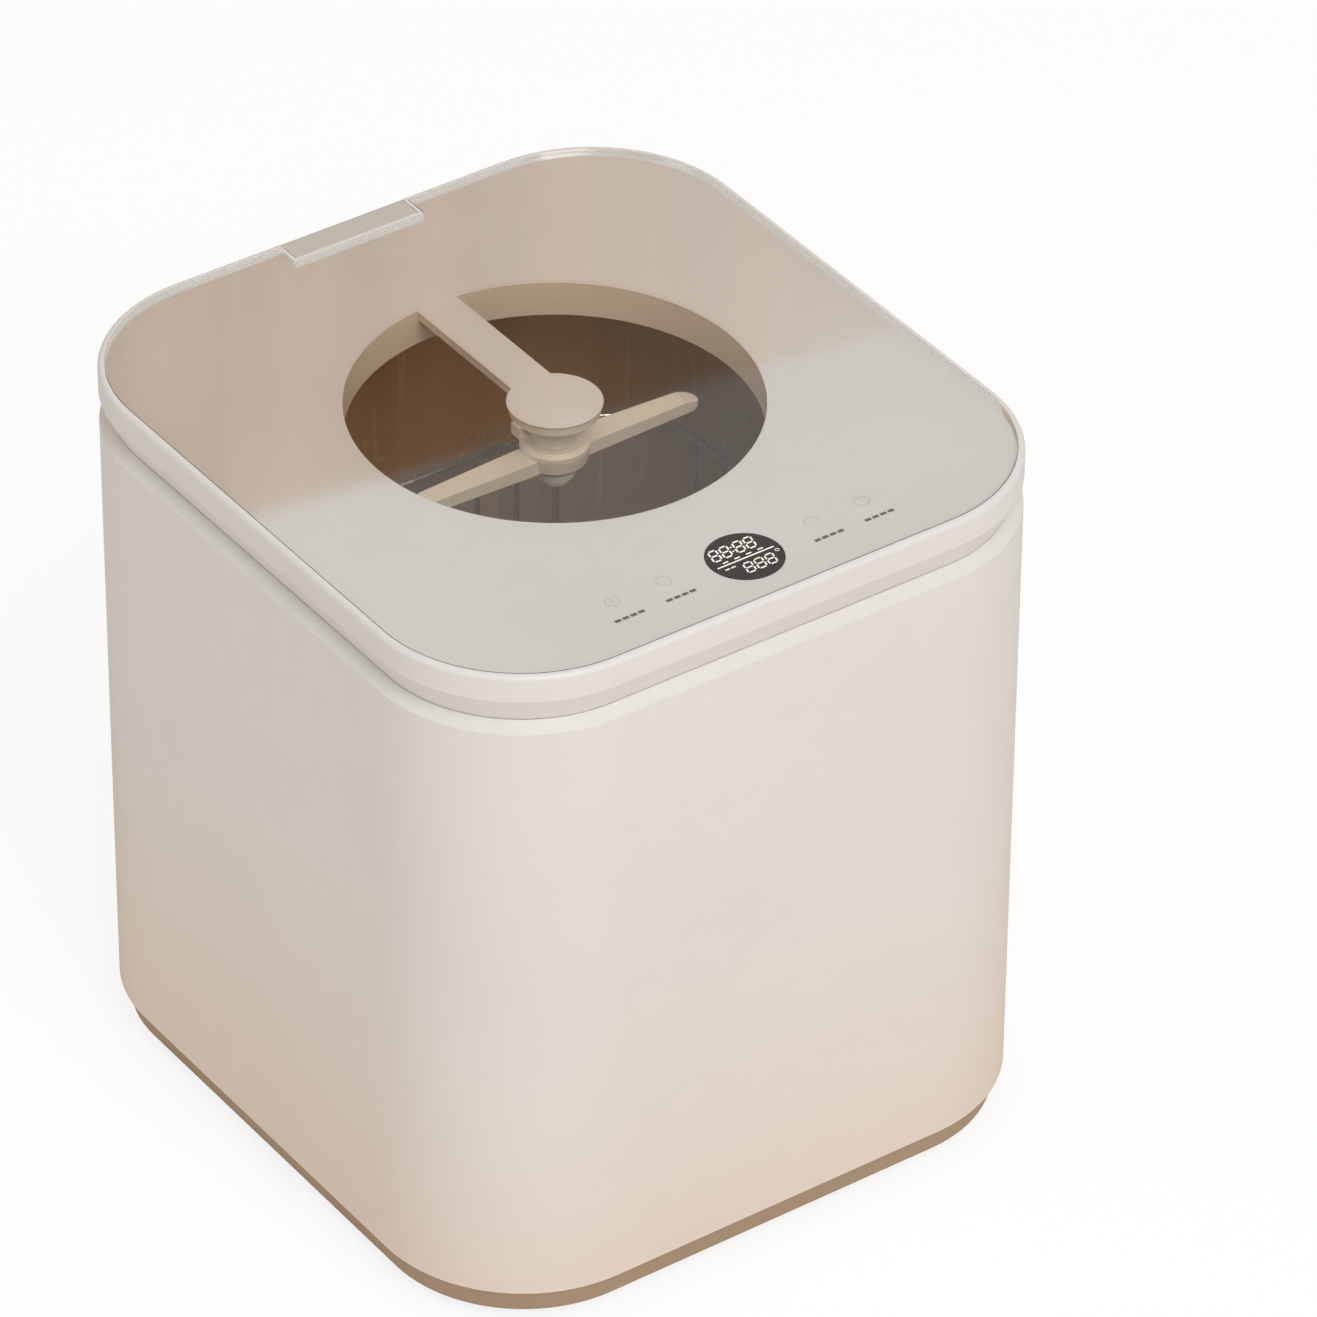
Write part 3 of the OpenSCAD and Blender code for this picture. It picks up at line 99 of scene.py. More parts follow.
class DishwasherColours(bpy.types.PropertyGroup):
    housing: colour("Housing", "Satin paint of the housing, lid frame and rear cover", 225, 221, 217)
    cover: colour("Hinge cover", "Satin paint of the plate over the hinge", 200, 192, 182)
    printed: colour("Glass print", "White printed behind the lid's glass", 211, 207, 204)
    tint: colour("Window tint", "Faint warm film behind the round window", 247, 240, 231)
    clear: colour("Clear glass", "Glass over the print", 251, 251, 249)
    # Darker and browner than the inner mouldings: partly the liner's own tone, partly painted shade for the
    # dim inside of the chamber
    chamber: colour("Wash chamber", "Moulded liner of the wash chamber", 166, 138, 108)
    white: colour("Inner mouldings", "Spray arms, deck, liner and water way", 226, 222, 216)
    plinth: colour("Plinth", "Base tray", 170, 156, 139)
    foot: colour("Feet", "Moulded feet", 162, 150, 134)
    rubber: colour("Rubber", "Hoses and foot pads", 58, 56, 54)
    wire: colour("Rack wire", "Polished rack wire", 205, 205, 203)
    basket: colour("Basket", "Cutlery basket", 150, 147, 142)
    dark: colour("Dark mouldings", "Pumps, latch, board case, float switch and power inlet", 46, 46, 48)
    grey: colour("Grey mouldings", "Pipes and drain intake", 138, 138, 137)
    board: colour("Circuit board", "Solder mask", 28, 74, 46)
    copper: colour("Copper", "Solenoid winding and board pads", 186, 112, 70)
    display: colour("Display face", "Smoked face of the display", 38, 31, 26)
    digits: colour("Digits", "Lit segments", 232, 228, 220)
    marks: colour("Key dashes", "Dashes printed by the touch keys", 96, 91, 85)
    signs: colour("Key signs", "Pale signs printed behind the dashes", 176, 172, 166)
    filter_steel: colour("Filter steel", "Fine filter plate", 186, 186, 184)
    filter_mesh: colour("Filter mesh", "Coarse filter cup", 120, 118, 114)
    heater: colour("Heater sheath", "Heating element", 150, 146, 140)
    seal: colour("Seal rubber", "Lid seal and spout seal", 96, 93, 90)
    turned: colour("Turned steel", "Screws, pins, striker and touch springs", 196, 195, 192)
    spring: colour("Spring wire", "Hinge springs", 150, 150, 150)
    motor: colour("Motor can", "Can of the wash pump's motor", 168, 168, 166)


class DishwasherWindow(bpy.types.PropertyGroup):
    radius: length("Window radius", "Radius of the tinted window", 115)
    disc_r: length("Hub disc", "Radius of the printed disc over the hub", 26.5)
    tongue_w: length("Tongue width", "Width of the printed tongue over the water way", 26)
    cover_room: length("Hinge room", "Room between the hinge block and the lid's notch", 2)
    cover_t: length("Cover thickness", "Thickness of the plate over the hinge", 6)
    cover_round: length("Cover rounding", "Rounding of the plate's rear edges", 2.7)
    cover_seam: length("Cover seam", "Gap between the plate and the lid round it", 0.4)


class DishwasherDisplay(bpy.types.PropertyGroup):
    digit_h: length("Digit height", "Height of one digit of the clock", 9.2)
    digit_w: length("Digit width", "Width of one digit of the clock", 4.9)
    stroke: length("Segment width", "Width of one lit segment", 1.05)
    pitch: length("Digit pitch", "From one digit to the next", 6.95)
    colon: length("Colon room", "Extra room for the clock's two dots", 1.6)
    slant: FloatProperty(
        name="Slant", description="How far the digits lean for each unit of height",
        default=0.2, min=0, max=0.5)
    ink: length("Segment thickness", "Height of a segment above the face", 0.12)
    small: FloatProperty(
        name="Lower row", description="Height of the lower row against the clock's",
        default=0.9, min=0.3, max=1.5)
    clock_left: length("Clock to the left", "From the display's middle to the clock's", 1.6)
    clock_up: length("Clock up", "From the display's middle to the foot of the clock", 4.7)
    lower_right: length("Lower row to the right", "From the display's middle to the lower row's", 3.6)
    lower_down: length("Lower row down", "From the display's middle to the top of the lower row", 4.9)
    dot: length("Dot", "Side of each of the clock's two dots", 1)
    rule: length("Bar length", "Length of the bar between the rows", 36.4)
    rule_down: length("Bar down", "From the display's middle to the bar", 0.9)
    fine: length("Fine line", "Width of the bar and of the small dashes", 0.9)
    upper_dash: length("Upper dash", "Length of each of the four dashes above the bar", 3.4)
    upper_step: length("Upper step", "From one dash above the bar to the next", 7.5)
    upper_left: length("Upper dashes to the left", "From the display's middle to theirs", 0.25)
    upper_up: length("Upper dashes up", "From the display's middle to the dashes above the bar", 1.4)
    lower_dash: length("Lower dash", "Length of each of the two dashes below the bar", 2.8)
    lower_step: length("Lower step", "From one dash below the bar to the next", 3.8)
    lower_left: length("Lower dashes to the left", "From the display's middle to theirs", 12.3)
    ring_x: length("Ring place", "From the display's middle to the small ring", 17.8)
    ring_down: length("Ring down", "From the display's middle to the small ring and the lower dashes", 4.4)
    ring_r: length("Ring", "Radius of the small ring", 1.1)
    ring_line: length("Ring line", "Width of the small ring's line", 0.4)
    glow: FloatProperty(name="Glow", description="Strength of the lit segments", default=0.45, min=0)


class DishwasherKeys(bpy.types.PropertyGroup):
    outer: length("Outer keys", "From the middle to the outer keys", 81)
    inner: length("Inner keys", "From the middle to the inner keys", 48)
    row: length("Key row", "How far in front of the display's middle the row of dashes lies", 9.8)
    dash_w: length("Dash width", "Width of one dash", 3.9)
    dash_h: length("Dash depth", "Depth of one dash", 2.3)
    dash_gap: length("Dash gap", "From one dash to the next", 1.1)
    sign_y: length("Sign place", "From a key's dashes to its sign", 16)
    ring_r: length("Key sign", "Radius of the sign behind each key's dashes", 4.2)
    line: length("Line", "Width of a printed line", 0.45)
    stem: length("First stem", "Length of the bar in the first key's sign", 5.5)
    hand: length("Last stem", "Length of the bar in the last key's sign", 2.8)
    ink: length("Ink", "Thickness of the printed ink", 0.02, low=0.000001)
    lift: length("Ink lift", "Room between the print and the ink", 0.01, low=0.000001)


class DishwasherStudio(bpy.types.PropertyGroup):
    floor: length("Floor", "Width of the floor", 30000, 1.0, 60.0)
    tone: colour("Floor tone", "The floor's own pale tone", 241, 238, 234)
    bounce: colour("Floor bounce", "Warm light that the floor near the machine sends back up", 246, 216, 186)
    near: length("Bounce near", "How far from the middle the floor's bounce is fully warm", 350)
    far: length("Bounce far", "Where the floor's bounce is plain again", 550)
    eye: FloatVectorProperty(
        name="Camera", description="Where the camera stands", subtype="XYZ", unit="LENGTH",
        default=(-2.2593, -3.2768, 3.1636))
    turn: FloatVectorProperty(
        name="Camera turn", description="The camera's rotation", subtype="EULER", unit="ROTATION",
        default=(math.radians(53.929), 0, math.radians(-35.380)))
    roll: FloatProperty(
        name="Camera roll", description="The camera's turn about its own axis", subtype="ANGLE",
        unit="ROTATION", default=math.radians(0.444))
    lens: FloatProperty(
        name="Lens", description="Focal length on a 36 mm frame", subtype="DISTANCE_CAMERA",
        default=243.54, min=20, max=800)
    shift: FloatProperty(name="Shift", description="The lens's rise", default=0.0033, min=-0.1, max=0.1)
    key: FloatProperty(
        name="Key lamp", description="Power of the large lamp", subtype="POWER", default=140, min=0)
    fill: FloatProperty(
        name="Fill lamp", description="Power of the lamp at the left", subtype="POWER", default=3, min=0)
    sky: FloatProperty(
        name="Room light", description="Strength of the room's even light", default=0.58, min=0)


# ---------- Shader groups ----------


def shader_group(name, inputs, outputs):
    """An empty shader group with named sockets, and its two end nodes."""
    tree = bpy.data.node_groups.new(name, "ShaderNodeTree")
    for label, kind, value in inputs:
        socket = tree.interface.new_socket(label, in_out="INPUT", socket_type=kind)
        if value is not None:
            socket.default_value = value
    for label, kind in outputs:
        tree.interface.new_socket(label, in_out="OUTPUT", socket_type=kind)
    return tree, tree.nodes.new("NodeGroupInput"), tree.nodes.new("NodeGroupOutput")


def value_of(tree, operation, *inputs, clamp=False):
    """A Math node on sockets and numbers. Returns its output."""
    node = tree.nodes.new("ShaderNodeMath")
    node.operation, node.use_clamp = operation, clamp
    for slot, given in zip(node.inputs, inputs):
        if isinstance(given, (int, float)):
            slot.default_value = given
        else:
            tree.links.new(given, slot)
    return node.outputs[0]


def noise_of(tree, vector, scale, detail=4.0, roughness=0.5, stretch=None):
    """A noise texture on a vector. Returns its value."""
    if stretch is not None:
        mapping = tree.nodes.new("ShaderNodeMapping")
        mapping.inputs["Scale"].default_value = stretch
        tree.links.new(vector, mapping.inputs["Vector"])
        vector = mapping.outputs[0]
    node = tree.nodes.new("ShaderNodeTexNoise")
    node.inputs["Detail"].default_value = detail
    node.inputs["Roughness"].default_value = roughness
    if isinstance(scale, (int, float)):
        node.inputs["Scale"].default_value = scale
    else:
        tree.links.new(scale, node.inputs["Scale"])
    tree.links.new(vector, node.inputs["Vector"])
    return node.outputs[0]


def range_of(tree, value, low, high, to_low=0.0, to_high=1.0):
    """A smooth Map Range on a value. Returns its result."""
    node = tree.nodes.new("ShaderNodeMapRange")
    node.interpolation_type = "SMOOTHSTEP"
    for label, given in (("From Min", low), ("From Max", high), ("To Min", to_low), ("To Max", to_high)):
        if isinstance(given, (int, float)):
            node.inputs[label].default_value = given
        else:
            tree.links.new(given, node.inputs[label])
    tree.links.new(value, node.inputs["Value"])
    return node.outputs[0]


def blend_of(tree, factor, first, second):
    """A Mix node on colours. Returns its result."""
    node = tree.nodes.new("ShaderNodeMix")
    node.data_type = "RGBA"
    for slot, given in ((node.inputs[0], factor), (node.inputs[6], first), (node.inputs[7], second)):
        if isinstance(given, (int, float)):
            slot.default_value = given
        elif isinstance(given, bpy.types.NodeSocket):
            tree.links.new(given, slot)
        else:
            slot.default_value = (*given[:3], 1)
    return node.outputs[2]


def build_tone_drift():
    """Slow changes of shade, as between batches and where light has yellowed a moulding."""
    tree, given, out = shader_group(
        "Tone drift",
        [("Vector", "NodeSocketVector", None), ("Colour", "NodeSocketColor", None),
         ("Shade", "NodeSocketFloat", 0.06), ("Patch", "NodeSocketFloat", 0.08)],
        [("Colour", "NodeSocketColor")])
    scale = value_of(tree, "DIVIDE", 1.0, given.outputs["Patch"])
    slow = noise_of(tree, given.outputs["Vector"], scale, 3.0)
    fine = noise_of(tree, given.outputs["Vector"], value_of(tree, "MULTIPLY", scale, 11.0), 2.0)
    mixed = value_of(
        tree, "ADD", value_of(tree, "MULTIPLY", slow, 0.75), value_of(tree, "MULTIPLY", fine, 0.25))
    swing = range_of(tree, mixed, 0.35, 0.65, value_of(tree, "MULTIPLY", given.outputs["Shade"], -1.0),
                     given.outputs["Shade"])
    hue = tree.nodes.new("ShaderNodeHueSaturation")
    tree.links.new(given.outputs["Colour"], hue.inputs["Color"])
    tree.links.new(value_of(tree, "ADD", 1.0, swing), hue.inputs["Value"])
    pale = value_of(tree, "SUBTRACT", 1.0, value_of(tree, "MULTIPLY", swing, 1.5))
    tree.links.new(pale, hue.inputs["Saturation"])
    tree.links.new(hue.outputs[0], out.inputs["Colour"])
    return tree


def build_handling():
    """Smudges from hands and hairline scratches, which change the gloss."""
    tree, given, out = shader_group(
        "Handling",
        [("Vector", "NodeSocketVector", None), ("Roughness", "NodeSocketFloat", 0.4),
         ("Smudge", "NodeSocketFloat", 0.08), ("Scratch", "NodeSocketFloat", 0.05)],
        [("Roughness", "NodeSocketFloat")])
    smear = noise_of(tree, given.outputs["Vector"], 26.0, 5.0, 0.6)
    smudge = value_of(tree, "MULTIPLY", range_of(tree, smear, 0.42, 0.68), given.outputs["Smudge"])
    wave = tree.nodes.new("ShaderNodeTexWave")
    wave.inputs["Scale"].default_value = 130.0
    wave.inputs["Distortion"].default_value = 34.0
    wave.inputs["Detail"].default_value = 3.0
    tree.links.new(given.outputs["Vector"], wave.inputs["Vector"])
    hair = range_of(tree, wave.outputs["Fac"], 0.965, 1.0)
    apart = range_of(tree, noise_of(tree, given.outputs["Vector"], 60.0, 2.0), 0.5, 0.62)
    scratch = value_of(tree, "MULTIPLY", value_of(tree, "MULTIPLY", hair, apart), given.outputs["Scratch"])
    total = value_of(
        tree, "ADD", given.outputs["Roughness"], value_of(tree, "ADD", smudge, scratch), clamp=True)
    tree.links.new(total, out.inputs["Roughness"])
    return tree


def build_dust():
    """Dust that settles on what faces up, and thins out where it is wiped."""
    tree, given, out = shader_group(
        "Settled dust",
        [("Vector", "NodeSocketVector", None), ("Colour", "NodeSocketColor", None),
         ("Roughness", "NodeSocketFloat", 0.5), ("Dust", "NodeSocketColor", (0.42, 0.38, 0.32, 1)),
         ("Amount", "NodeSocketFloat", 0.2)],
        [("Colour", "NodeSocketColor"), ("Roughness", "NodeSocketFloat")])
    side = tree.nodes.new("ShaderNodeNewGeometry")
    axes = tree.nodes.new("ShaderNodeSeparateXYZ")
    tree.links.new(side.outputs["Normal"], axes.inputs[0])
    facing = range_of(tree, axes.outputs["Z"], 0.15, 0.95)
    patch = range_of(tree, noise_of(tree, given.outputs["Vector"], 40.0, 6.0, 0.65), 0.3, 0.7, 0.35, 1.0)
    mask = value_of(tree, "MULTIPLY", value_of(tree, "MULTIPLY", facing, patch), given.outputs["Amount"])
    dusty = blend_of(tree, mask, given.outputs["Colour"], given.outputs["Dust"])
    tree.links.new(dusty, out.inputs["Colour"])
    dull = value_of(
        tree, "ADD", given.outputs["Roughness"], value_of(tree, "MULTIPLY", mask, 0.35), clamp=True)
    tree.links.new(dull, out.inputs["Roughness"])
    return tree


def build_moulded_grain():
    """The fine grain of a mould, or the orange peel of paint, as a height."""
    tree, given, out = shader_group(
        "Moulded grain",
        [("Vector", "NodeSocketVector", None), ("Size", "NodeSocketFloat", 0.0006),
         ("Pits", "NodeSocketFloat", 0.3)],
        [("Height", "NodeSocketFloat")])
    scale = value_of(tree, "DIVIDE", 1.0, given.outputs["Size"])
    grain = noise_of(tree, given.outputs["Vector"], scale, 3.0, 0.55)
    pit = tree.nodes.new("ShaderNodeTexVoronoi")
    tree.links.new(given.outputs["Vector"], pit.inputs["Vector"])
    tree.links.new(value_of(tree, "MULTIPLY", scale, 0.6), pit.inputs["Scale"])
    height = value_of(tree, "SUBTRACT", grain, value_of(
        tree, "MULTIPLY", range_of(tree, pit.outputs["Distance"], 0.0, 0.5, 1.0, 0.0), given.outputs["Pits"]))
    tree.links.new(height, out.inputs["Height"])
    return tree


def build_drawn_metal():
    """Metal drawn or brushed along one way: streaks of shade, gloss and height."""
    tree, given, out = shader_group(
        "Drawn metal",
        [("Vector", "NodeSocketVector", None), ("Colour", "NodeSocketColor", None),
         ("Roughness", "NodeSocketFloat", 0.25), ("Streaks", "NodeSocketFloat", 0.12),
         ("Along", "NodeSocketVector", (2000.0, 2000.0, 40.0))],
        [("Colour", "NodeSocketColor"), ("Roughness", "NodeSocketFloat"), ("Height", "NodeSocketFloat")])
    scaled = tree.nodes.new("ShaderNodeVectorMath")
    scaled.operation = "MULTIPLY"
    tree.links.new(given.outputs["Vector"], scaled.inputs[0])
    tree.links.new(given.outputs["Along"], scaled.inputs[1])
    streak = noise_of(tree, scaled.outputs[0], 1.0, 4.0, 0.6)
    swing = value_of(tree, "MULTIPLY", value_of(tree, "SUBTRACT", streak, 0.5), given.outputs["Streaks"])
    hue = tree.nodes.new("ShaderNodeHueSaturation")
    tree.links.new(given.outputs["Colour"], hue.inputs["Color"])
    tree.links.new(value_of(tree, "ADD", 1.0, swing), hue.inputs["Value"])
    tree.links.new(hue.outputs[0], out.inputs["Colour"])
    stain = range_of(tree, noise_of(tree, given.outputs["Vector"], 55.0, 4.0), 0.5, 0.75, 0.0, 0.16)
    gloss = value_of(
        tree, "ADD", given.outputs["Roughness"], value_of(tree, "ADD", swing, stain), clamp=True)
    tree.links.new(gloss, out.inputs["Roughness"])
    tree.links.new(streak, out.inputs["Height"])
    return tree


def build_water_marks():
    """Dried drops and runs left by hard water on what gets wet."""
    tree, given, out = shader_group(
        "Water marks",
        [("Vector", "NodeSocketVector", None), ("Colour", "NodeSocketColor", None),
         ("Roughness", "NodeSocketFloat", 0.3), ("Amount", "NodeSocketFloat", 0.3)],
        [("Colour", "NodeSocketColor"), ("Roughness", "NodeSocketFloat")])
    drop = tree.nodes.new("ShaderNodeTexVoronoi")
    drop.inputs["Scale"].default_value = 95.0
    tree.links.new(given.outputs["Vector"], drop.inputs["Vector"])
    ring = value_of(tree, "MULTIPLY", range_of(tree, drop.outputs["Distance"], 0.16, 0.24),
                    range_of(tree, drop.outputs["Distance"], 0.24, 0.32, 1.0, 0.0))
    some = range_of(tree, noise_of(tree, given.outputs["Vector"], 18.0, 3.0), 0.5, 0.66)
    run = range_of(tree, noise_of(tree, given.outputs["Vector"], 1.0, 3.0, 0.6, (150, 150, 9)), 0.56, 0.72)
    mark = value_of(
        tree, "MAXIMUM", value_of(tree, "MULTIPLY", ring, some), value_of(tree, "MULTIPLY", run, 0.5))
    mask = value_of(tree, "MULTIPLY", mark, given.outputs["Amount"])
    limed = blend_of(tree, mask, given.outputs["Colour"], (0.72, 0.71, 0.68))
    tree.links.new(limed, out.inputs["Colour"])
    dull = value_of(
        tree, "ADD", given.outputs["Roughness"], value_of(tree, "MULTIPLY", mask, 0.5), clamp=True)
    tree.links.new(dull, out.inputs["Roughness"])
    return tree


EFFECTS = {
    "Tone drift": build_tone_drift,
    "Handling": build_handling,
    "Settled dust": build_dust,
    "Moulded grain": build_moulded_grain,
    "Drawn metal": build_drawn_metal,
    "Water marks": build_water_marks,
}


def effect(tree, name, vector, **values):
    """Places a shader group in a material, built on first use, with its own values. Returns the node."""
    node = tree.nodes.new("ShaderNodeGroup")
    node.node_tree = bpy.data.node_groups.get(name) or EFFECTS[name]()
    tree.links.new(vector, node.inputs["Vector"])
    for label, given in values.items():
        socket = node.inputs[label]
        if isinstance(given, bpy.types.NodeSocket):
            tree.links.new(given, socket)
        elif isinstance(given, (int, float)):
            socket.default_value = given
        else:
            socket.default_value = (*given[:3], 1) if socket.type == "RGBA" else given
    return node


# ---------- Finishes ----------


def blank_finish(name):
    """A new material. Returns it, its tree, its Principled shader and the object coordinates."""
    finish = bpy.data.materials.new(name)
    finish.use_nodes = True
    tree = finish.node_tree
    shader = tree.nodes["Principled BSDF"]
    place = tree.nodes.new("ShaderNodeTexCoord").outputs["Object"]
    return finish, tree, shader, place


def end_with(tree, end, factor, first, second):
    """Mixes two shaders by a factor into a tree's end node."""
    mixed = tree.nodes.new("ShaderNodeMixShader")
    for slot, given in zip(mixed.inputs, (factor, first, second)):
        tree.links.new(given, slot)
    tree.links.new(mixed.outputs[0], tree.nodes[end].inputs["Surface"])


def raise_surface(tree, shader, height, relief):
    """Bumps a shader's surface by a height."""
    bump = tree.nodes.new("ShaderNodeBump")
    bump.inputs["Strength"].default_value = 1.0
    bump.inputs["Distance"].default_value = relief
    tree.links.new(height, bump.inputs["Height"])
    tree.links.new(bump.outputs["Normal"], shader.inputs["Normal"])


def marked(tree, name, place, colour, gloss, amount):
    """Adds a shader group of marks over a colour and a gloss. Returns the new two."""
    node = effect(tree, name, place, Colour=colour, Roughness=gloss, Amount=amount)
    return node.outputs["Colour"], node.outputs["Roughness"]


def moulded(name, tone, roughness, grain=0.0006, relief=0.00002, shade=0.03, patch=0.09, smudge=0.06,
            scratch=0.08, dust=0.0, wet=0.0, coat=0.0, coat_ior=1.5, pits=0.3):
    """Moulded plastic, rubber, paint or ink, with drift of tone, grain, use, dust and dried water."""
    finish, tree, shader, place = blank_finish(name)
    drift = effect(tree, "Tone drift", place, Colour=tone, Shade=shade, Patch=patch)
    gloss = effect(tree, "Handling", place, Roughness=roughness, Smudge=smudge, Scratch=scratch)
    last_colour, last_gloss = drift.outputs["Colour"], gloss.outputs["Roughness"]
    if wet > 0:
        last_colour, last_gloss = marked(tree, "Water marks", place, last_colour, last_gloss, wet)
    if dust > 0:
        last_colour, last_gloss = marked(tree, "Settled dust", place, last_colour, last_gloss, dust)
    tree.links.new(last_colour, shader.inputs["Base Color"])
    tree.links.new(last_gloss, shader.inputs["Roughness"])
    surface = effect(tree, "Moulded grain", place, Size=grain, Pits=pits)
    raise_surface(tree, shader, surface.outputs["Height"], relief)
    shader.inputs["Coat Weight"].default_value = coat
    shader.inputs["Coat IOR"].default_value = coat_ior
    shader.inputs["Coat Roughness"].default_value = 0.04
    return finish


def satin_paint(name, tone):
    """Sprayed satin paint with a faint orange peel."""
    return moulded(name, tone, 0.42, grain=0.0016, relief=0.000012, shade=0.012, patch=0.2,
                   smudge=0.05, scratch=0.05, coat=0.12, pits=0.0)


def metal(name, tone, roughness=0.24, streaks=0.12, along=(2000.0, 2000.0, 40.0), relief=0.00001, wet=0.0):
    """Bare metal, drawn, brushed or turned."""
    finish, tree, shader, place = blank_finish(name)
    drawn = effect(
        tree, "Drawn metal", place, Colour=tone, Roughness=roughness, Streaks=streaks, Along=along)
    last_colour, last_gloss = drawn.outputs["Colour"], drawn.outputs["Roughness"]
    if wet > 0:
        last_colour, last_gloss = marked(tree, "Water marks", place, last_colour, last_gloss, wet)
    tree.links.new(last_colour, shader.inputs["Base Color"])
    tree.links.new(last_gloss, shader.inputs["Roughness"])
    raise_surface(tree, shader, drawn.outputs["Height"], relief)
    shader.inputs["Metallic"].default_value = 1.0
    return finish


def window_mask(tree, place):
    """1 inside the round window, 0 over the print. Returns the mask and the coordinates' axes."""
    window = bpy.context.scene.dishwasher_window
    axes = tree.nodes.new("ShaderNodeSeparateXYZ")
    tree.links.new(place, axes.inputs[0])
    behind = value_of(tree, "SUBTRACT", axes.outputs["Y"], WINDOW_Y)
    reach = value_of(tree, "SQRT", value_of(
        tree, "ADD", value_of(tree, "POWER", axes.outputs["X"], 2.0), value_of(tree, "POWER", behind, 2.0)))
    ring = value_of(tree, "MULTIPLY", value_of(tree, "LESS_THAN", reach, window.radius),
                    value_of(tree, "GREATER_THAN", reach, window.disc_r))
    tongue = value_of(tree, "MULTIPLY", value_of(tree, "GREATER_THAN", behind, 0.0), value_of(
        tree, "LESS_THAN", value_of(tree, "ABSOLUTE", axes.outputs["X"]), window.tongue_w / 2))
    return value_of(tree, "MULTIPLY", ring, value_of(tree, "SUBTRACT", 1.0, tongue)), axes


def window_glass(name, clear, tint):
    """Clear glass with hand smears and a film in its window. Lamp rays pass it and light what is behind."""
    finish, tree, shader, place = blank_finish(name)
    mask, axes = window_mask(tree, place)
    film = blend_of(tree, mask, clear, tint)
    under = value_of(tree, "LESS_THAN", axes.outputs["Z"], (GLASS_LOW.z + GLASS_HIGH.z) / 2)
    tree.links.new(value_of(tree, "MULTIPLY", mask, under), shader.inputs["Coat Weight"])
    shader.inputs["Coat IOR"].default_value = FILM_IOR
    drift = effect(tree, "Tone drift", place, Colour=film, Shade=0.01, Patch=0.12)
    gloss = effect(tree, "Handling", place, Roughness=0.015, Smudge=0.03, Scratch=0.04)
    tree.links.new(drift.outputs["Colour"], shader.inputs["Base Color"])
    tree.links.new(gloss.outputs["Roughness"], shader.inputs["Roughness"])
    shader.inputs["Transmission Weight"].default_value = 1.0
    shader.inputs["IOR"].default_value = PANE_IOR
    rays = tree.nodes.new("ShaderNodeLightPath")
    lamps = value_of(tree, "MAXIMUM", rays.outputs["Is Shadow Ray"], rays.outputs["Is Diffuse Ray"])
    passing = tree.nodes.new("ShaderNodeBsdfTransparent")
    tree.links.new(film, passing.inputs["Color"])
    end_with(tree, "Material Output", lamps, shader.outputs[0], passing.outputs[0])
    return finish


def circuit(name, mask, copper):
    """A circuit board's solder mask, with the tracks under it and bare copper pads."""
    finish, tree, shader, place = blank_finish(name)
    brick = tree.nodes.new("ShaderNodeTexBrick")
    brick.inputs["Scale"].default_value = 320.0
    brick.inputs["Mortar Size"].default_value = 0.012
    brick.inputs["Color1"].default_value = (*mask[:3], 1)
    brick.inputs["Color2"].default_value = (mask[0] * 0.8, mask[1] * 0.85, mask[2] * 0.8, 1)
    brick.inputs["Mortar"].default_value = (mask[0] * 1.8, mask[1] * 1.5, mask[2] * 1.5, 1)
    tree.links.new(place, brick.inputs["Vector"])
    pad = tree.nodes.new("ShaderNodeTexVoronoi")
    pad.inputs["Scale"].default_value = 230.0
    pad.inputs["Randomness"].default_value = 0.35
    tree.links.new(place, pad.inputs["Vector"])
    spot = range_of(tree, pad.outputs["Distance"], 0.14, 0.17, 1.0, 0.0)
    tree.links.new(blend_of(tree, spot, brick.outputs["Color"], copper), shader.inputs["Base Color"])
    gloss = effect(tree, "Handling", place, Roughness=0.3, Smudge=0.1, Scratch=0.0)
    tree.links.new(gloss.outputs["Roughness"], shader.inputs["Roughness"])
    raise_surface(tree, shader, brick.outputs["Fac"], 0.00003)
    return finish


def lit(name, tone, strength):
    """A lit segment: pale ink with a weak glow."""
    finish, tree, shader, place = blank_finish(name)
    drift = effect(tree, "Tone drift", place, Colour=tone, Shade=0.08, Patch=0.004)
    tree.links.new(drift.outputs["Colour"], shader.inputs["Base Color"])
    tree.links.new(drift.outputs["Colour"], shader.inputs["Emission Color"])
    shader.inputs["Emission Strength"].default_value = strength
    shader.inputs["Roughness"].default_value = 0.5
    return finish


def dress(finish, *nodes):
    """Gives CAD nodes one finish all over."""
    for name in nodes:
        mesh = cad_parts[name].data
        mesh.materials.clear()
        mesh.materials.append(finish)


# ---------- Modelling helpers ----------


def piece_from(name, mesh, body, finish):
    """Makes an object of the given name at the origin out of a bmesh, which rides on a body and wears the
    given finish.
    """
    bmesh.ops.recalc_face_normals(mesh, faces=mesh.faces)
    data = bpy.data.meshes.new(name)
    mesh.to_mesh(data)
    mesh.free()
    data.materials.append(finish)
    piece = bpy.data.objects.new(name, data)
    bpy.context.scene.collection.objects.link(piece)
    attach(piece, body)


def stand_up(mesh, faces, thickness):
    """Gives flat faces a thickness, upwards."""
    grown = bmesh.ops.extrude_face_region(mesh, geom=faces)
    lifted = [v for v in grown["geom"] if isinstance(v, bmesh.types.BMVert)]
    bmesh.ops.translate(mesh, verts=lifted, vec=(0, 0, thickness))


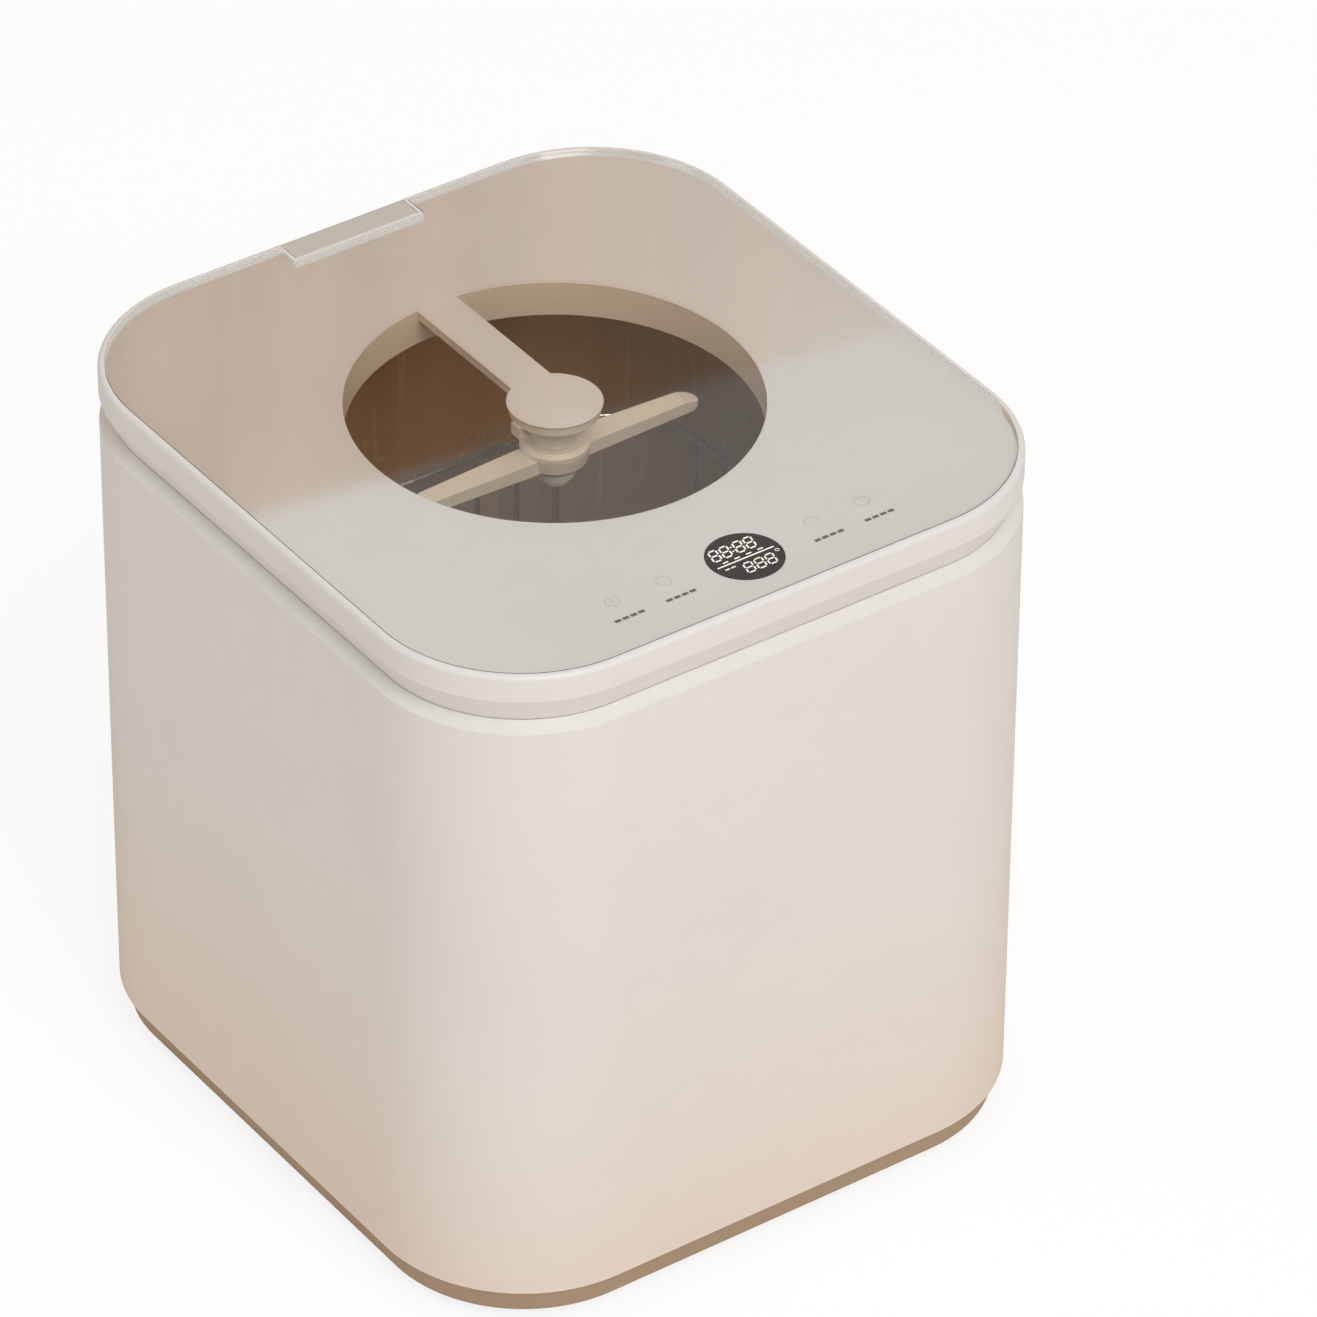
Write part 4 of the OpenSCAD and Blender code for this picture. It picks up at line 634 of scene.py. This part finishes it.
def add_bar(mesh, start, end, width, thickness, z, pointed=True):
    """A flat bar from start to end, with pointed or square ends."""
    run = Vector(end) - Vector(start)
    made = bmesh.ops.create_circle(mesh, cap_ends=True, segments=6 if pointed else 4, radius=1.0,
                                   matrix=Matrix.Rotation(0 if pointed else math.radians(45), 4, "Z"))
    verts = made["verts"]
    half = run.length / 2
    for v in verts:
        at_tip = abs(v.co.y) < 0.1
        reach = half - width / 2 if pointed and not at_tip else half
        side = 0 if at_tip else math.copysign(width / 2, v.co.y)
        v.co = Vector((math.copysign(reach, v.co.x), side, 0))
    bmesh.ops.rotate(
        mesh, verts=verts, cent=(0, 0, 0), matrix=Matrix.Rotation(math.atan2(run.y, run.x), 3, "Z"))
    middle = (Vector(start) + Vector(end)) / 2
    bmesh.ops.translate(mesh, verts=verts, vec=(middle.x, middle.y, z))
    stand_up(mesh, list({f for v in verts for f in v.link_faces}), thickness)


def add_dashes(mesh, x, y, size, step, count, thickness, z):
    """A row of level dashes about x, each of one length and width, a step apart."""
    for place in range(count):
        left = x + (place - (count - 1) / 2) * step - size[0] / 2
        add_bar(mesh, (left, y), (left + size[0], y), size[1], thickness, z, pointed=False)


def add_digit(mesh, x, y, width, height, stroke, thickness, z, slant):
    """An eight in seven segments, with its lower left corner at x, y, leaning to the right."""
    gap, first = stroke * SEGMENT_GAP, len(mesh.verts)
    for level in range(3):
        row = y + level * height / 2
        add_bar(mesh, (x + gap, row), (x + width - gap, row), stroke, thickness, z)
    for side in (0, 1):
        for half in (0, 1):
            foot = y + half * height / 2
            add_bar(mesh, (x + side * width, foot + gap), (x + side * width, foot + height / 2 - gap),
                    stroke, thickness, z)
    mesh.verts.ensure_lookup_table()
    bmesh.ops.transform(mesh, verts=mesh.verts[first:], space=Matrix.Translation((0, -y - height / 2, 0)),
                        matrix=Matrix.Shear("XZ", 4, (slant, 0)))


def add_arc(mesh, x, y, radius, start, sweep, width, thickness, z, steps=18):
    """A flat arc of a ring about x, y, from a start angle through a sweep, both in degrees."""
    way = Vector((math.cos(math.radians(start)), math.sin(math.radians(start)), 0))
    end_on = [mesh.verts.new(Vector((x, y, z)) + way * (radius + side * width / 2)) for side in (-1, 1)]
    edge = mesh.edges.new(end_on)
    bmesh.ops.spin(mesh, geom=[edge], cent=(x, y, z), axis=(0, 0, 1), dvec=(0, 0, 0),
                   angle=math.radians(sweep), steps=steps, use_merge=abs(sweep) == 360)
    faces = {f for v in end_on for f in v.link_faces}
    grown = set()
    while faces - grown:
        grown |= faces
        faces |= {g for f in faces for e in f.edges for g in e.link_faces}
    stand_up(mesh, list(faces), thickness)


# ---------- Pieces ----------


def finishes():
    """The colours that a user would change."""
    return bpy.context.scene.dishwasher_colours


class DISHWASHER_OT_housing(bpy.types.Operator):
    """Paints the housing, the lid frame, the hinge and the rear cover."""
    bl_idname = "dishwasher.housing"
    bl_label = "Housing"

    def execute(self, context):
        tone = finishes().housing
        painted = satin_paint("Satin paint", tone)
        dress(painted, "housing_shell", "lid_frame", "rear_cover")
        hinge = moulded("Hinge moulding", tone, 0.5, grain=0.0005, relief=0.00002, shade=0.03, patch=0.03)
        dress(hinge, "hinge_block")
        return {"FINISHED"}


class DISHWASHER_OT_hinge_cover(bpy.types.Operator):
    """Makes the small plate that covers the hinge at the lid's rear edge."""
    bl_idname = "dishwasher.hinge_cover"
    bl_label = "Hinge cover"

    def execute(self, context):
        sizes = context.scene.dishwasher_window
        seam = sizes.cover_seam
        half = (BLOCK_HIGH.x - BLOCK_LOW.x) / 2 + sizes.cover_room
        low = Vector((-half + seam, BLOCK_LOW.y - sizes.cover_room, LID_HIGH.z - sizes.cover_t))
        high = Vector((half - seam, LID_HIGH.y - seam, LID_HIGH.z - seam / 4))
        mesh = bmesh.new()
        bmesh.ops.create_cube(mesh, size=1.0)
        bmesh.ops.scale(mesh, verts=mesh.verts, vec=high - low)
        bmesh.ops.translate(mesh, verts=mesh.verts, vec=(low + high) / 2)
        rear = [e for e in mesh.edges if all(v.co.y > high.y - 1e-5 for v in e.verts)]
        along = [e for e in rear if abs(e.verts[0].co.z - e.verts[1].co.z) < 1e-6]
        bmesh.ops.bevel(mesh, geom=along, offset=sizes.cover_round, offset_type="OFFSET", affect="EDGES",
                        segments=5, profile=0.5, material=-1)
        cover = satin_paint("Hinge cover paint", finishes().cover)
        piece_from("hinge_cover", mesh, "lid", cover)
        return {"FINISHED"}


class DISHWASHER_OT_lid_glass(bpy.types.Operator):
    """Finishes the lid's glass and the white printed behind it."""
    bl_idname = "dishwasher.lid_glass"
    bl_label = "Lid glass"

    def execute(self, context):
        dress(window_glass("Lid glass", finishes().clear, finishes().tint), "glass_panel")
        printed = moulded("Glass print", finishes().printed, 0.35, grain=0.0009, relief=0.0,
                          shade=0.01, patch=0.25, smudge=0.0, scratch=0.0, coat=1.0, coat_ior=3.0, pits=0.0)
        dress(printed, "glass_print")
        return {"FINISHED"}


class DISHWASHER_OT_display(bpy.types.Operator):
    """Darkens the display's face and lights its clock, its lower row and the bar between them."""
    bl_idname = "dishwasher.display"
    bl_label = "Display"

    def execute(self, context):
        sizes = context.scene.dishwasher_display
        face = moulded("Smoked face", finishes().display, 0.2, grain=0.002, relief=0.000004, shade=0.05,
                       smudge=0.03, scratch=0.0, pits=0.0)
        face.node_tree.nodes["Principled BSDF"].inputs["Specular IOR Level"].default_value = 0.05
        dress(face, "display_module")
        z, ink = FACE_HIGH.z + SEGMENT_LIFT, sizes.ink
        mesh = bmesh.new()
        across = 3 * sizes.pitch + sizes.digit_w + sizes.colon
        left, up = DISPLAY_X - sizes.clock_left - across / 2, DISPLAY_Y + sizes.clock_up
        for place in range(4):
            x = left + place * sizes.pitch + (sizes.colon if place > 1 else 0)
            add_digit(mesh, x, up, sizes.digit_w, sizes.digit_h, sizes.stroke, ink, z, sizes.slant)
        colon = left + 2 * sizes.pitch - (sizes.pitch - sizes.digit_w - sizes.colon) / 2
        for level in (0.3, 0.7):
            x, y = colon + (level - 0.5) * sizes.digit_h * sizes.slant, up + level * sizes.digit_h
            add_dashes(mesh, x, y, (sizes.dot, sizes.dot), 0, 1, ink, z)
        add_dashes(mesh, DISPLAY_X, DISPLAY_Y - sizes.rule_down, (sizes.rule, sizes.fine), 0, 1, ink, z)
        small_w, small_h = sizes.digit_w, sizes.digit_h * sizes.small
        row, down = DISPLAY_X + sizes.lower_right - sizes.pitch - small_w / 2, sizes.lower_down + small_h
        for place in range(3):
            add_digit(mesh, row + place * sizes.pitch, DISPLAY_Y - down, small_w, small_h,
                      sizes.stroke * sizes.small, ink, z, sizes.slant)
        add_dashes(mesh, DISPLAY_X - sizes.upper_left, DISPLAY_Y + sizes.upper_up,
                   (sizes.upper_dash, sizes.fine), sizes.upper_step, 4, ink, z)
        below = DISPLAY_Y - sizes.ring_down
        add_dashes(mesh, DISPLAY_X - sizes.lower_left, below,
                   (sizes.lower_dash, sizes.fine), sizes.lower_step, 2, ink, z)
        add_arc(mesh, DISPLAY_X + sizes.ring_x, below, sizes.ring_r, 0, 360, sizes.ring_line, ink, z)
        segments = lit("Lit segments", finishes().digits, sizes.glow)
        piece_from("display_segments", mesh, "lid", segments)
        return {"FINISHED"}


class DISHWASHER_OT_key_marks(bpy.types.Operator):
    """Prints a sign and a row of dashes for each touch key."""
    bl_idname = "dishwasher.key_marks"
    bl_label = "Key marks"

    def execute(self, context):
        sizes = context.scene.dishwasher_keys
        z = PRINT_HIGH.z + sizes.lift
        front = DISPLAY_Y - sizes.row
        behind = front + sizes.sign_y
        dash, step = (sizes.dash_w, sizes.dash_h), sizes.dash_w + sizes.dash_gap
        dark, pale = bmesh.new(), bmesh.new()
        for x in (-sizes.outer, -sizes.inner, sizes.inner, sizes.outer):
            add_dashes(dark, x, front, dash, step, 4, sizes.ink, z)
        signs = ((-sizes.outer, 120, 300), (-sizes.inner, 0, 360),
                 (sizes.inner, 200, -220), (sizes.outer, 0, 360))
        for x, start, sweep in signs:
            add_arc(pale, x, behind, sizes.ring_r, start, sweep, sizes.line, sizes.ink, z)
        for x, reach in ((-sizes.outer, sizes.stem), (sizes.outer, sizes.hand)):
            add_bar(pale, (x, behind), (x, behind + reach), sizes.line, sizes.ink, z, pointed=False)
        ink = moulded("Key ink", finishes().marks, 0.5, grain=0.0003, relief=0.000002, shade=0.1, patch=0.004)
        piece_from("key_dashes", dark, "lid", ink)
        ink = moulded("Pale key ink", finishes().signs, 0.5, grain=0.0003, relief=0.000002, shade=0.06,
                      patch=0.004)
        piece_from("key_signs", pale, "lid", ink)
        return {"FINISHED"}


class DISHWASHER_OT_chamber(bpy.types.Operator):
    """Finishes the wash chamber: tub, sump, inner mouldings, filter, float and heater."""
    bl_idname = "dishwasher.chamber"
    bl_label = "Wash chamber"

    def execute(self, context):
        # The tub's colour is part painted shade: it is darkened and browned past the liner's own tone to
        # stand in for the dim light deep in the chamber
        tub = moulded("Tub moulding with painted shade", finishes().chamber, 0.34, grain=0.0008, relief=0.00001, shade=0.03,
                      patch=0.12, smudge=0.08, scratch=0.12, wet=0.35)
        dress(tub, "inner_tub", "sump")
        white = moulded("Inner moulding", finishes().white, 0.36, grain=0.0007, relief=0.000012, shade=0.02,
                        patch=0.1, wet=0.12)
        dress(white, "top_deck", "lid_liner", "water_duct", "upper_hub", "upper_hub_cap", "feed_spout",
              "lower_hub", "lower_hub_cap", "float_cap", "detergent_cup", "detergent_flap")
        dress(metal("Filter steel", finishes().filter_steel, 0.3, along=(40.0, 900.0, 900.0), wet=0.2),
              "filter_plate")
        dress(moulded("Filter mesh", finishes().filter_mesh, 0.45, wet=0.3), "filter_cup")
        dress(metal("Heater sheath", finishes().heater, 0.34, streaks=0.2, wet=0.5), "heating_element")
        dress(moulded("Float switch", finishes().dark, 0.45), "float_switch")
        return {"FINISHED"}


class DISHWASHER_OT_spray_arms(bpy.types.Operator):
    """Finishes the two spray arms."""
    bl_idname = "dishwasher.spray_arms"
    bl_label = "Spray arms"

    def execute(self, context):
        arm = moulded("Spray arm moulding", finishes().white, 0.4, grain=0.0005, relief=0.00001, shade=0.025,
                      patch=0.05, wet=0.15)
        dress(arm, "upper_spray_arm", "lower_spray_arm")
        return {"FINISHED"}


class DISHWASHER_OT_racks(bpy.types.Operator):
    """Finishes the dish rack, its plate tines and the cutlery basket."""
    bl_idname = "dishwasher.racks"
    bl_label = "Racks"

    def execute(self, context):
        wire = metal("Rack wire", finishes().wire, 0.2, streaks=0.06, along=(60.0, 60.0, 60.0), wet=0.25)
        dress(wire, "dish_rack", "plate_tines")
        dress(moulded("Basket moulding", finishes().basket, 0.46, grain=0.0005, relief=0.00002, shade=0.04,
                      patch=0.04, wet=0.3), "cutlery_basket")
        return {"FINISHED"}


class DISHWASHER_OT_base(bpy.types.Operator):
    """Finishes the base tray, the feet and their pads."""
    bl_idname = "dishwasher.base"
    bl_label = "Base"

    def execute(self, context):
        dress(moulded("Plinth moulding", finishes().plinth, 0.5, grain=0.0007, relief=0.00002, shade=0.03,
                      patch=0.08, dust=0.25), "base_tray")
        dress(moulded("Foot moulding", finishes().foot, 0.5, grain=0.0005, relief=0.00003, shade=0.05,
                      patch=0.02), "feet")
        dress(moulded("Foot rubber", finishes().rubber, 0.75, grain=0.0006, relief=0.00004, shade=0.12,
                      patch=0.015, dust=0.3), "foot_pads")
        return {"FINISHED"}


class DISHWASHER_OT_fittings(bpy.types.Operator):
    """Finishes the seals, screws, pins, springs, latch, lock and boards."""
    bl_idname = "dishwasher.fittings"
    bl_label = "Fittings"

    def execute(self, context):
        colours = finishes()
        dress(moulded("Seal rubber", colours.seal, 0.62, grain=0.0005, relief=0.00002, shade=0.08,
                      patch=0.02, wet=0.2), "lid_seal", "spout_seal")
        steel = metal("Turned steel", colours.turned, 0.25, along=(900.0, 900.0, 900.0))
        dress(steel, "lid_screws", "cover_screws", "hinge_pin", "flap_pin", "touch_springs", "latch_striker")
        dress(metal("Spring wire", colours.spring, 0.32, along=(300.0, 300.0, 300.0)), "hinge_springs")
        dress(circuit("Solder mask", colours.board, colours.copper), "touch_board", "main_board")
        latch = moulded("Latch moulding", colours.dark, 0.5, grain=0.0004, relief=0.00003, shade=0.08,
                        patch=0.02)
        dress(latch, "latch_housing", "board_case")
        dress(moulded("Lock bolt", colours.white, 0.4, grain=0.0004, shade=0.03, patch=0.02), "lock_bolt")
        winding = metal("Solenoid winding", colours.copper, 0.3, streaks=0.4, along=(4000.0, 60.0, 60.0))
        dress(winding, "lock_solenoid")
        return {"FINISHED"}


class DISHWASHER_OT_machine_room(bpy.types.Operator):
    """Finishes the pumps, their motor and rotors, the pipes and the hoses under the chamber."""
    bl_idname = "dishwasher.machine_room"
    bl_label = "Machine room"

    def execute(self, context):
        colours = finishes()
        dress(moulded("Pump moulding", colours.dark, 0.46, grain=0.0005, relief=0.00003, shade=0.1,
                      patch=0.04, dust=0.25), "pump_volute", "drain_pump")
        dress(moulded("Pipe moulding", colours.grey, 0.5, grain=0.0006, relief=0.00002, shade=0.05,
                      patch=0.05, dust=0.2), "suction_pipe", "feed_manifold", "riser_pipe", "drain_intake")
        dress(moulded("Hose rubber", colours.rubber, 0.6, grain=0.0006, relief=0.00004, shade=0.1, patch=0.03,
                      dust=0.2), "drain_hose", "inlet_hose")
        dress(moulded("Rotor moulding", colours.white, 0.4, shade=0.03, patch=0.03),
              "pump_impeller", "drain_rotor")
        dress(metal("Motor can", colours.motor, 0.3, streaks=0.2, along=(60.0, 2400.0, 2400.0)), "pump_motor")
        return {"FINISHED"}


class DISHWASHER_OT_rear_fittings(bpy.types.Operator):
    """Finishes the water and mains connectors in the rear pocket."""
    bl_idname = "dishwasher.rear_fittings"
    bl_label = "Rear fittings"

    def execute(self, context):
        dress(moulded("Valve moulding", finishes().white, 0.42, grain=0.0005, relief=0.00002, shade=0.04,
                      patch=0.03), "inlet_valve")
        dress(moulded("Inlet moulding", finishes().dark, 0.42, grain=0.0005, relief=0.00002, shade=0.08,
                      patch=0.02), "power_inlet")
        return {"FINISHED"}


# ---------- Studio ----------


def flat_card(name, width, height, matrix, finish):
    """A flat rectangle of the studio."""
    mesh = bmesh.new()
    bmesh.ops.create_grid(mesh, x_segments=1, y_segments=1, size=0.5)
    bmesh.ops.scale(mesh, verts=mesh.verts, vec=(width, height, 1))
    bmesh.ops.transform(mesh, verts=mesh.verts, matrix=matrix)
    data = bpy.data.meshes.new(name)
    mesh.to_mesh(data)
    mesh.free()
    data.materials.append(finish)
    card = bpy.data.objects.new(name, data)
    bpy.context.scene.collection.objects.link(card)
    return card


def soft_lamp(name, power, size, place):
    """A square area lamp, aimed at the machine."""
    lamp = bpy.data.lights.new(name, "AREA")
    lamp.shape, lamp.size, lamp.size_y, lamp.energy = "RECTANGLE", size, size, power
    holder = bpy.data.objects.new(name, lamp)
    aim = (Vector(LAMP_AIM) - Vector(place)).to_track_quat("-Z", "Y")
    holder.matrix_world = Matrix.Translation(place) @ aim.to_matrix().to_4x4()
    bpy.context.scene.collection.objects.link(holder)


def warm_boards(name):
    """Glowing wooden boards with an upright grain, paler to the right, for the lid's glass to mirror."""
    finish = bpy.data.materials.new(name)
    finish.use_nodes = True
    tree = finish.node_tree
    place = tree.nodes.new("ShaderNodeTexCoord").outputs["Object"]
    grain = noise_of(tree, place, 1.0, 5.0, 0.65, (9.0, 9.0, 0.6))
    fine = noise_of(tree, place, 1.0, 3.0, 0.6, (60.0, 60.0, 1.5))
    both = value_of(
        tree, "ADD", value_of(tree, "MULTIPLY", grain, 0.7), value_of(tree, "MULTIPLY", fine, 0.3))
    axes = tree.nodes.new("ShaderNodeSeparateXYZ")
    tree.links.new(place, axes.inputs[0])
    across = range_of(tree, axes.outputs["X"], 0.9, 1.9)
    tone = blend_of(tree, range_of(tree, both, 0.38, 0.62), WOOD_DARK, WOOD_PALE)
    tone = blend_of(tree, across, tone, WALL_PALE)
    board = tree.nodes.new("ShaderNodeEmission")
    tree.links.new(tone, board.inputs["Color"])
    tree.links.new(board.outputs[0], tree.nodes["Material Output"].inputs["Surface"])
    return finish


class DISHWASHER_OT_studio(bpy.types.Operator):
    """Sets up the floor, the lamps, the wall that the glass mirrors, and the camera."""
    bl_idname = "dishwasher.studio"
    bl_label = "Studio"

    def execute(self, context):
        studio = context.scene.dishwasher_studio
        context.scene.view_settings.view_transform = "Standard"
        floor = bpy.data.materials.new("Pale floor")
        floor.use_nodes = True
        tree = floor.node_tree
        shader = tree.nodes["Principled BSDF"]
        shader.inputs["Roughness"].default_value = 0.9
        shader.inputs["Specular IOR Level"].default_value = 0.0
        glow = tree.nodes.new("ShaderNodeEmission")
        glow.inputs["Strength"].default_value = 1.05
        rays = tree.nodes.new("ShaderNodeLightPath")
        reach = tree.nodes.new("ShaderNodeVectorMath")
        reach.operation = "LENGTH"
        tree.links.new(tree.nodes.new("ShaderNodeTexCoord").outputs["Object"], reach.inputs[0])
        plain = value_of(tree, "MAXIMUM", rays.outputs["Is Camera Ray"], range_of(
            tree, reach.outputs["Value"], studio.near, studio.far))
        bounce = blend_of(tree, plain, studio.bounce, studio.tone)
        tree.links.new(bounce, shader.inputs["Base Color"])
        seen = value_of(tree, "MULTIPLY", value_of(
            tree, "MAXIMUM", rays.outputs["Is Camera Ray"], rays.outputs["Is Transmission Ray"]), 0.8)
        end_with(tree, "Material Output", seen, shader.outputs[0], glow.outputs[0])
        flat_card("studio_floor", studio.floor, studio.floor, Matrix.Identity(4), floor)

        upright = Matrix.Rotation(WALL_TURN, 4, "Z") @ Matrix.Rotation(math.radians(90), 4, "X")
        wall = flat_card("studio_wall", *WALL_SIZE, Matrix.Translation(WALL_PLACE) @ upright,
                         warm_boards("Warm boards"))
        wall.visible_camera = wall.visible_diffuse = wall.visible_shadow = False

        world = bpy.data.worlds.new("Room")
        context.scene.world = world
        world.use_nodes = True
        tree = world.node_tree
        room = tree.nodes["Background"]
        room.inputs["Color"].default_value = (1.0, 0.985, 0.965, 1)
        room.inputs["Strength"].default_value = studio.sky
        white = tree.nodes.new("ShaderNodeBackground")
        white.inputs["Strength"].default_value = 1.0
        rays = tree.nodes.new("ShaderNodeLightPath")
        seen = value_of(tree, "MAXIMUM", rays.outputs["Is Camera Ray"], value_of(
            tree, "MAXIMUM", rays.outputs["Is Glossy Ray"], rays.outputs["Is Transmission Ray"]))
        end_with(tree, "World Output", seen, room.outputs[0], white.outputs[0])

        soft_lamp("key_lamp", studio.key, KEY_SIZE, KEY_PLACE)
        soft_lamp("fill_lamp", studio.fill, FILL_SIZE, FILL_PLACE)

        camera = bpy.data.cameras.new("camera")
        camera.sensor_width = 36.0
        camera.lens = studio.lens
        camera.shift_y = studio.shift
        camera.clip_end = 100.0
        stand = bpy.data.objects.new("camera", camera)
        stand.matrix_world = (Matrix.Translation(studio.eye) @ Euler(studio.turn).to_matrix().to_4x4()
                              @ Matrix.Rotation(studio.roll, 4, "Z"))
        context.scene.collection.objects.link(stand)
        context.scene.camera = stand
        return {"FINISHED"}


OPERATORS = (
    DISHWASHER_OT_studio,
    DISHWASHER_OT_housing,
    DISHWASHER_OT_hinge_cover,
    DISHWASHER_OT_lid_glass,
    DISHWASHER_OT_display,
    DISHWASHER_OT_key_marks,
    DISHWASHER_OT_chamber,
    DISHWASHER_OT_spray_arms,
    DISHWASHER_OT_racks,
    DISHWASHER_OT_base,
    DISHWASHER_OT_fittings,
    DISHWASHER_OT_machine_room,
    DISHWASHER_OT_rear_fittings,
)

SETTINGS = {
    "dishwasher_colours": DishwasherColours,
    "dishwasher_window": DishwasherWindow,
    "dishwasher_display": DishwasherDisplay,
    "dishwasher_keys": DishwasherKeys,
    "dishwasher_studio": DishwasherStudio,
}


class DISHWASHER_PT_panel(bpy.types.Panel):
    """Lists the sizes, the colours and the steps that dress the dishwasher."""
    bl_idname = "DISHWASHER_PT_panel"
    bl_label = "Dishwasher"
    bl_space_type = "VIEW_3D"
    bl_region_type = "UI"
    bl_category = "Dishwasher"

    def draw(self, context):
        for name, group in SETTINGS.items():
            box = self.layout.box()
            for prop in group.__annotations__:
                box.prop(getattr(context.scene, name), prop)
        for operator in OPERATORS:
            self.layout.operator(operator.bl_idname)


def register():
    for group in (*SETTINGS.values(), *OPERATORS, DISHWASHER_PT_panel):
        bpy.utils.register_class(group)
    for name, group in SETTINGS.items():
        setattr(bpy.types.Scene, name, PointerProperty(type=group))


def unregister():
    for name in SETTINGS:
        delattr(bpy.types.Scene, name)
    for group in reversed((*SETTINGS.values(), *OPERATORS, DISHWASHER_PT_panel)):
        bpy.utils.unregister_class(group)


def main():
    register()
    for operator in OPERATORS:
        getattr(bpy.ops.dishwasher, operator.bl_idname.split(".")[1])()


if __name__ == "__main__":
    main()
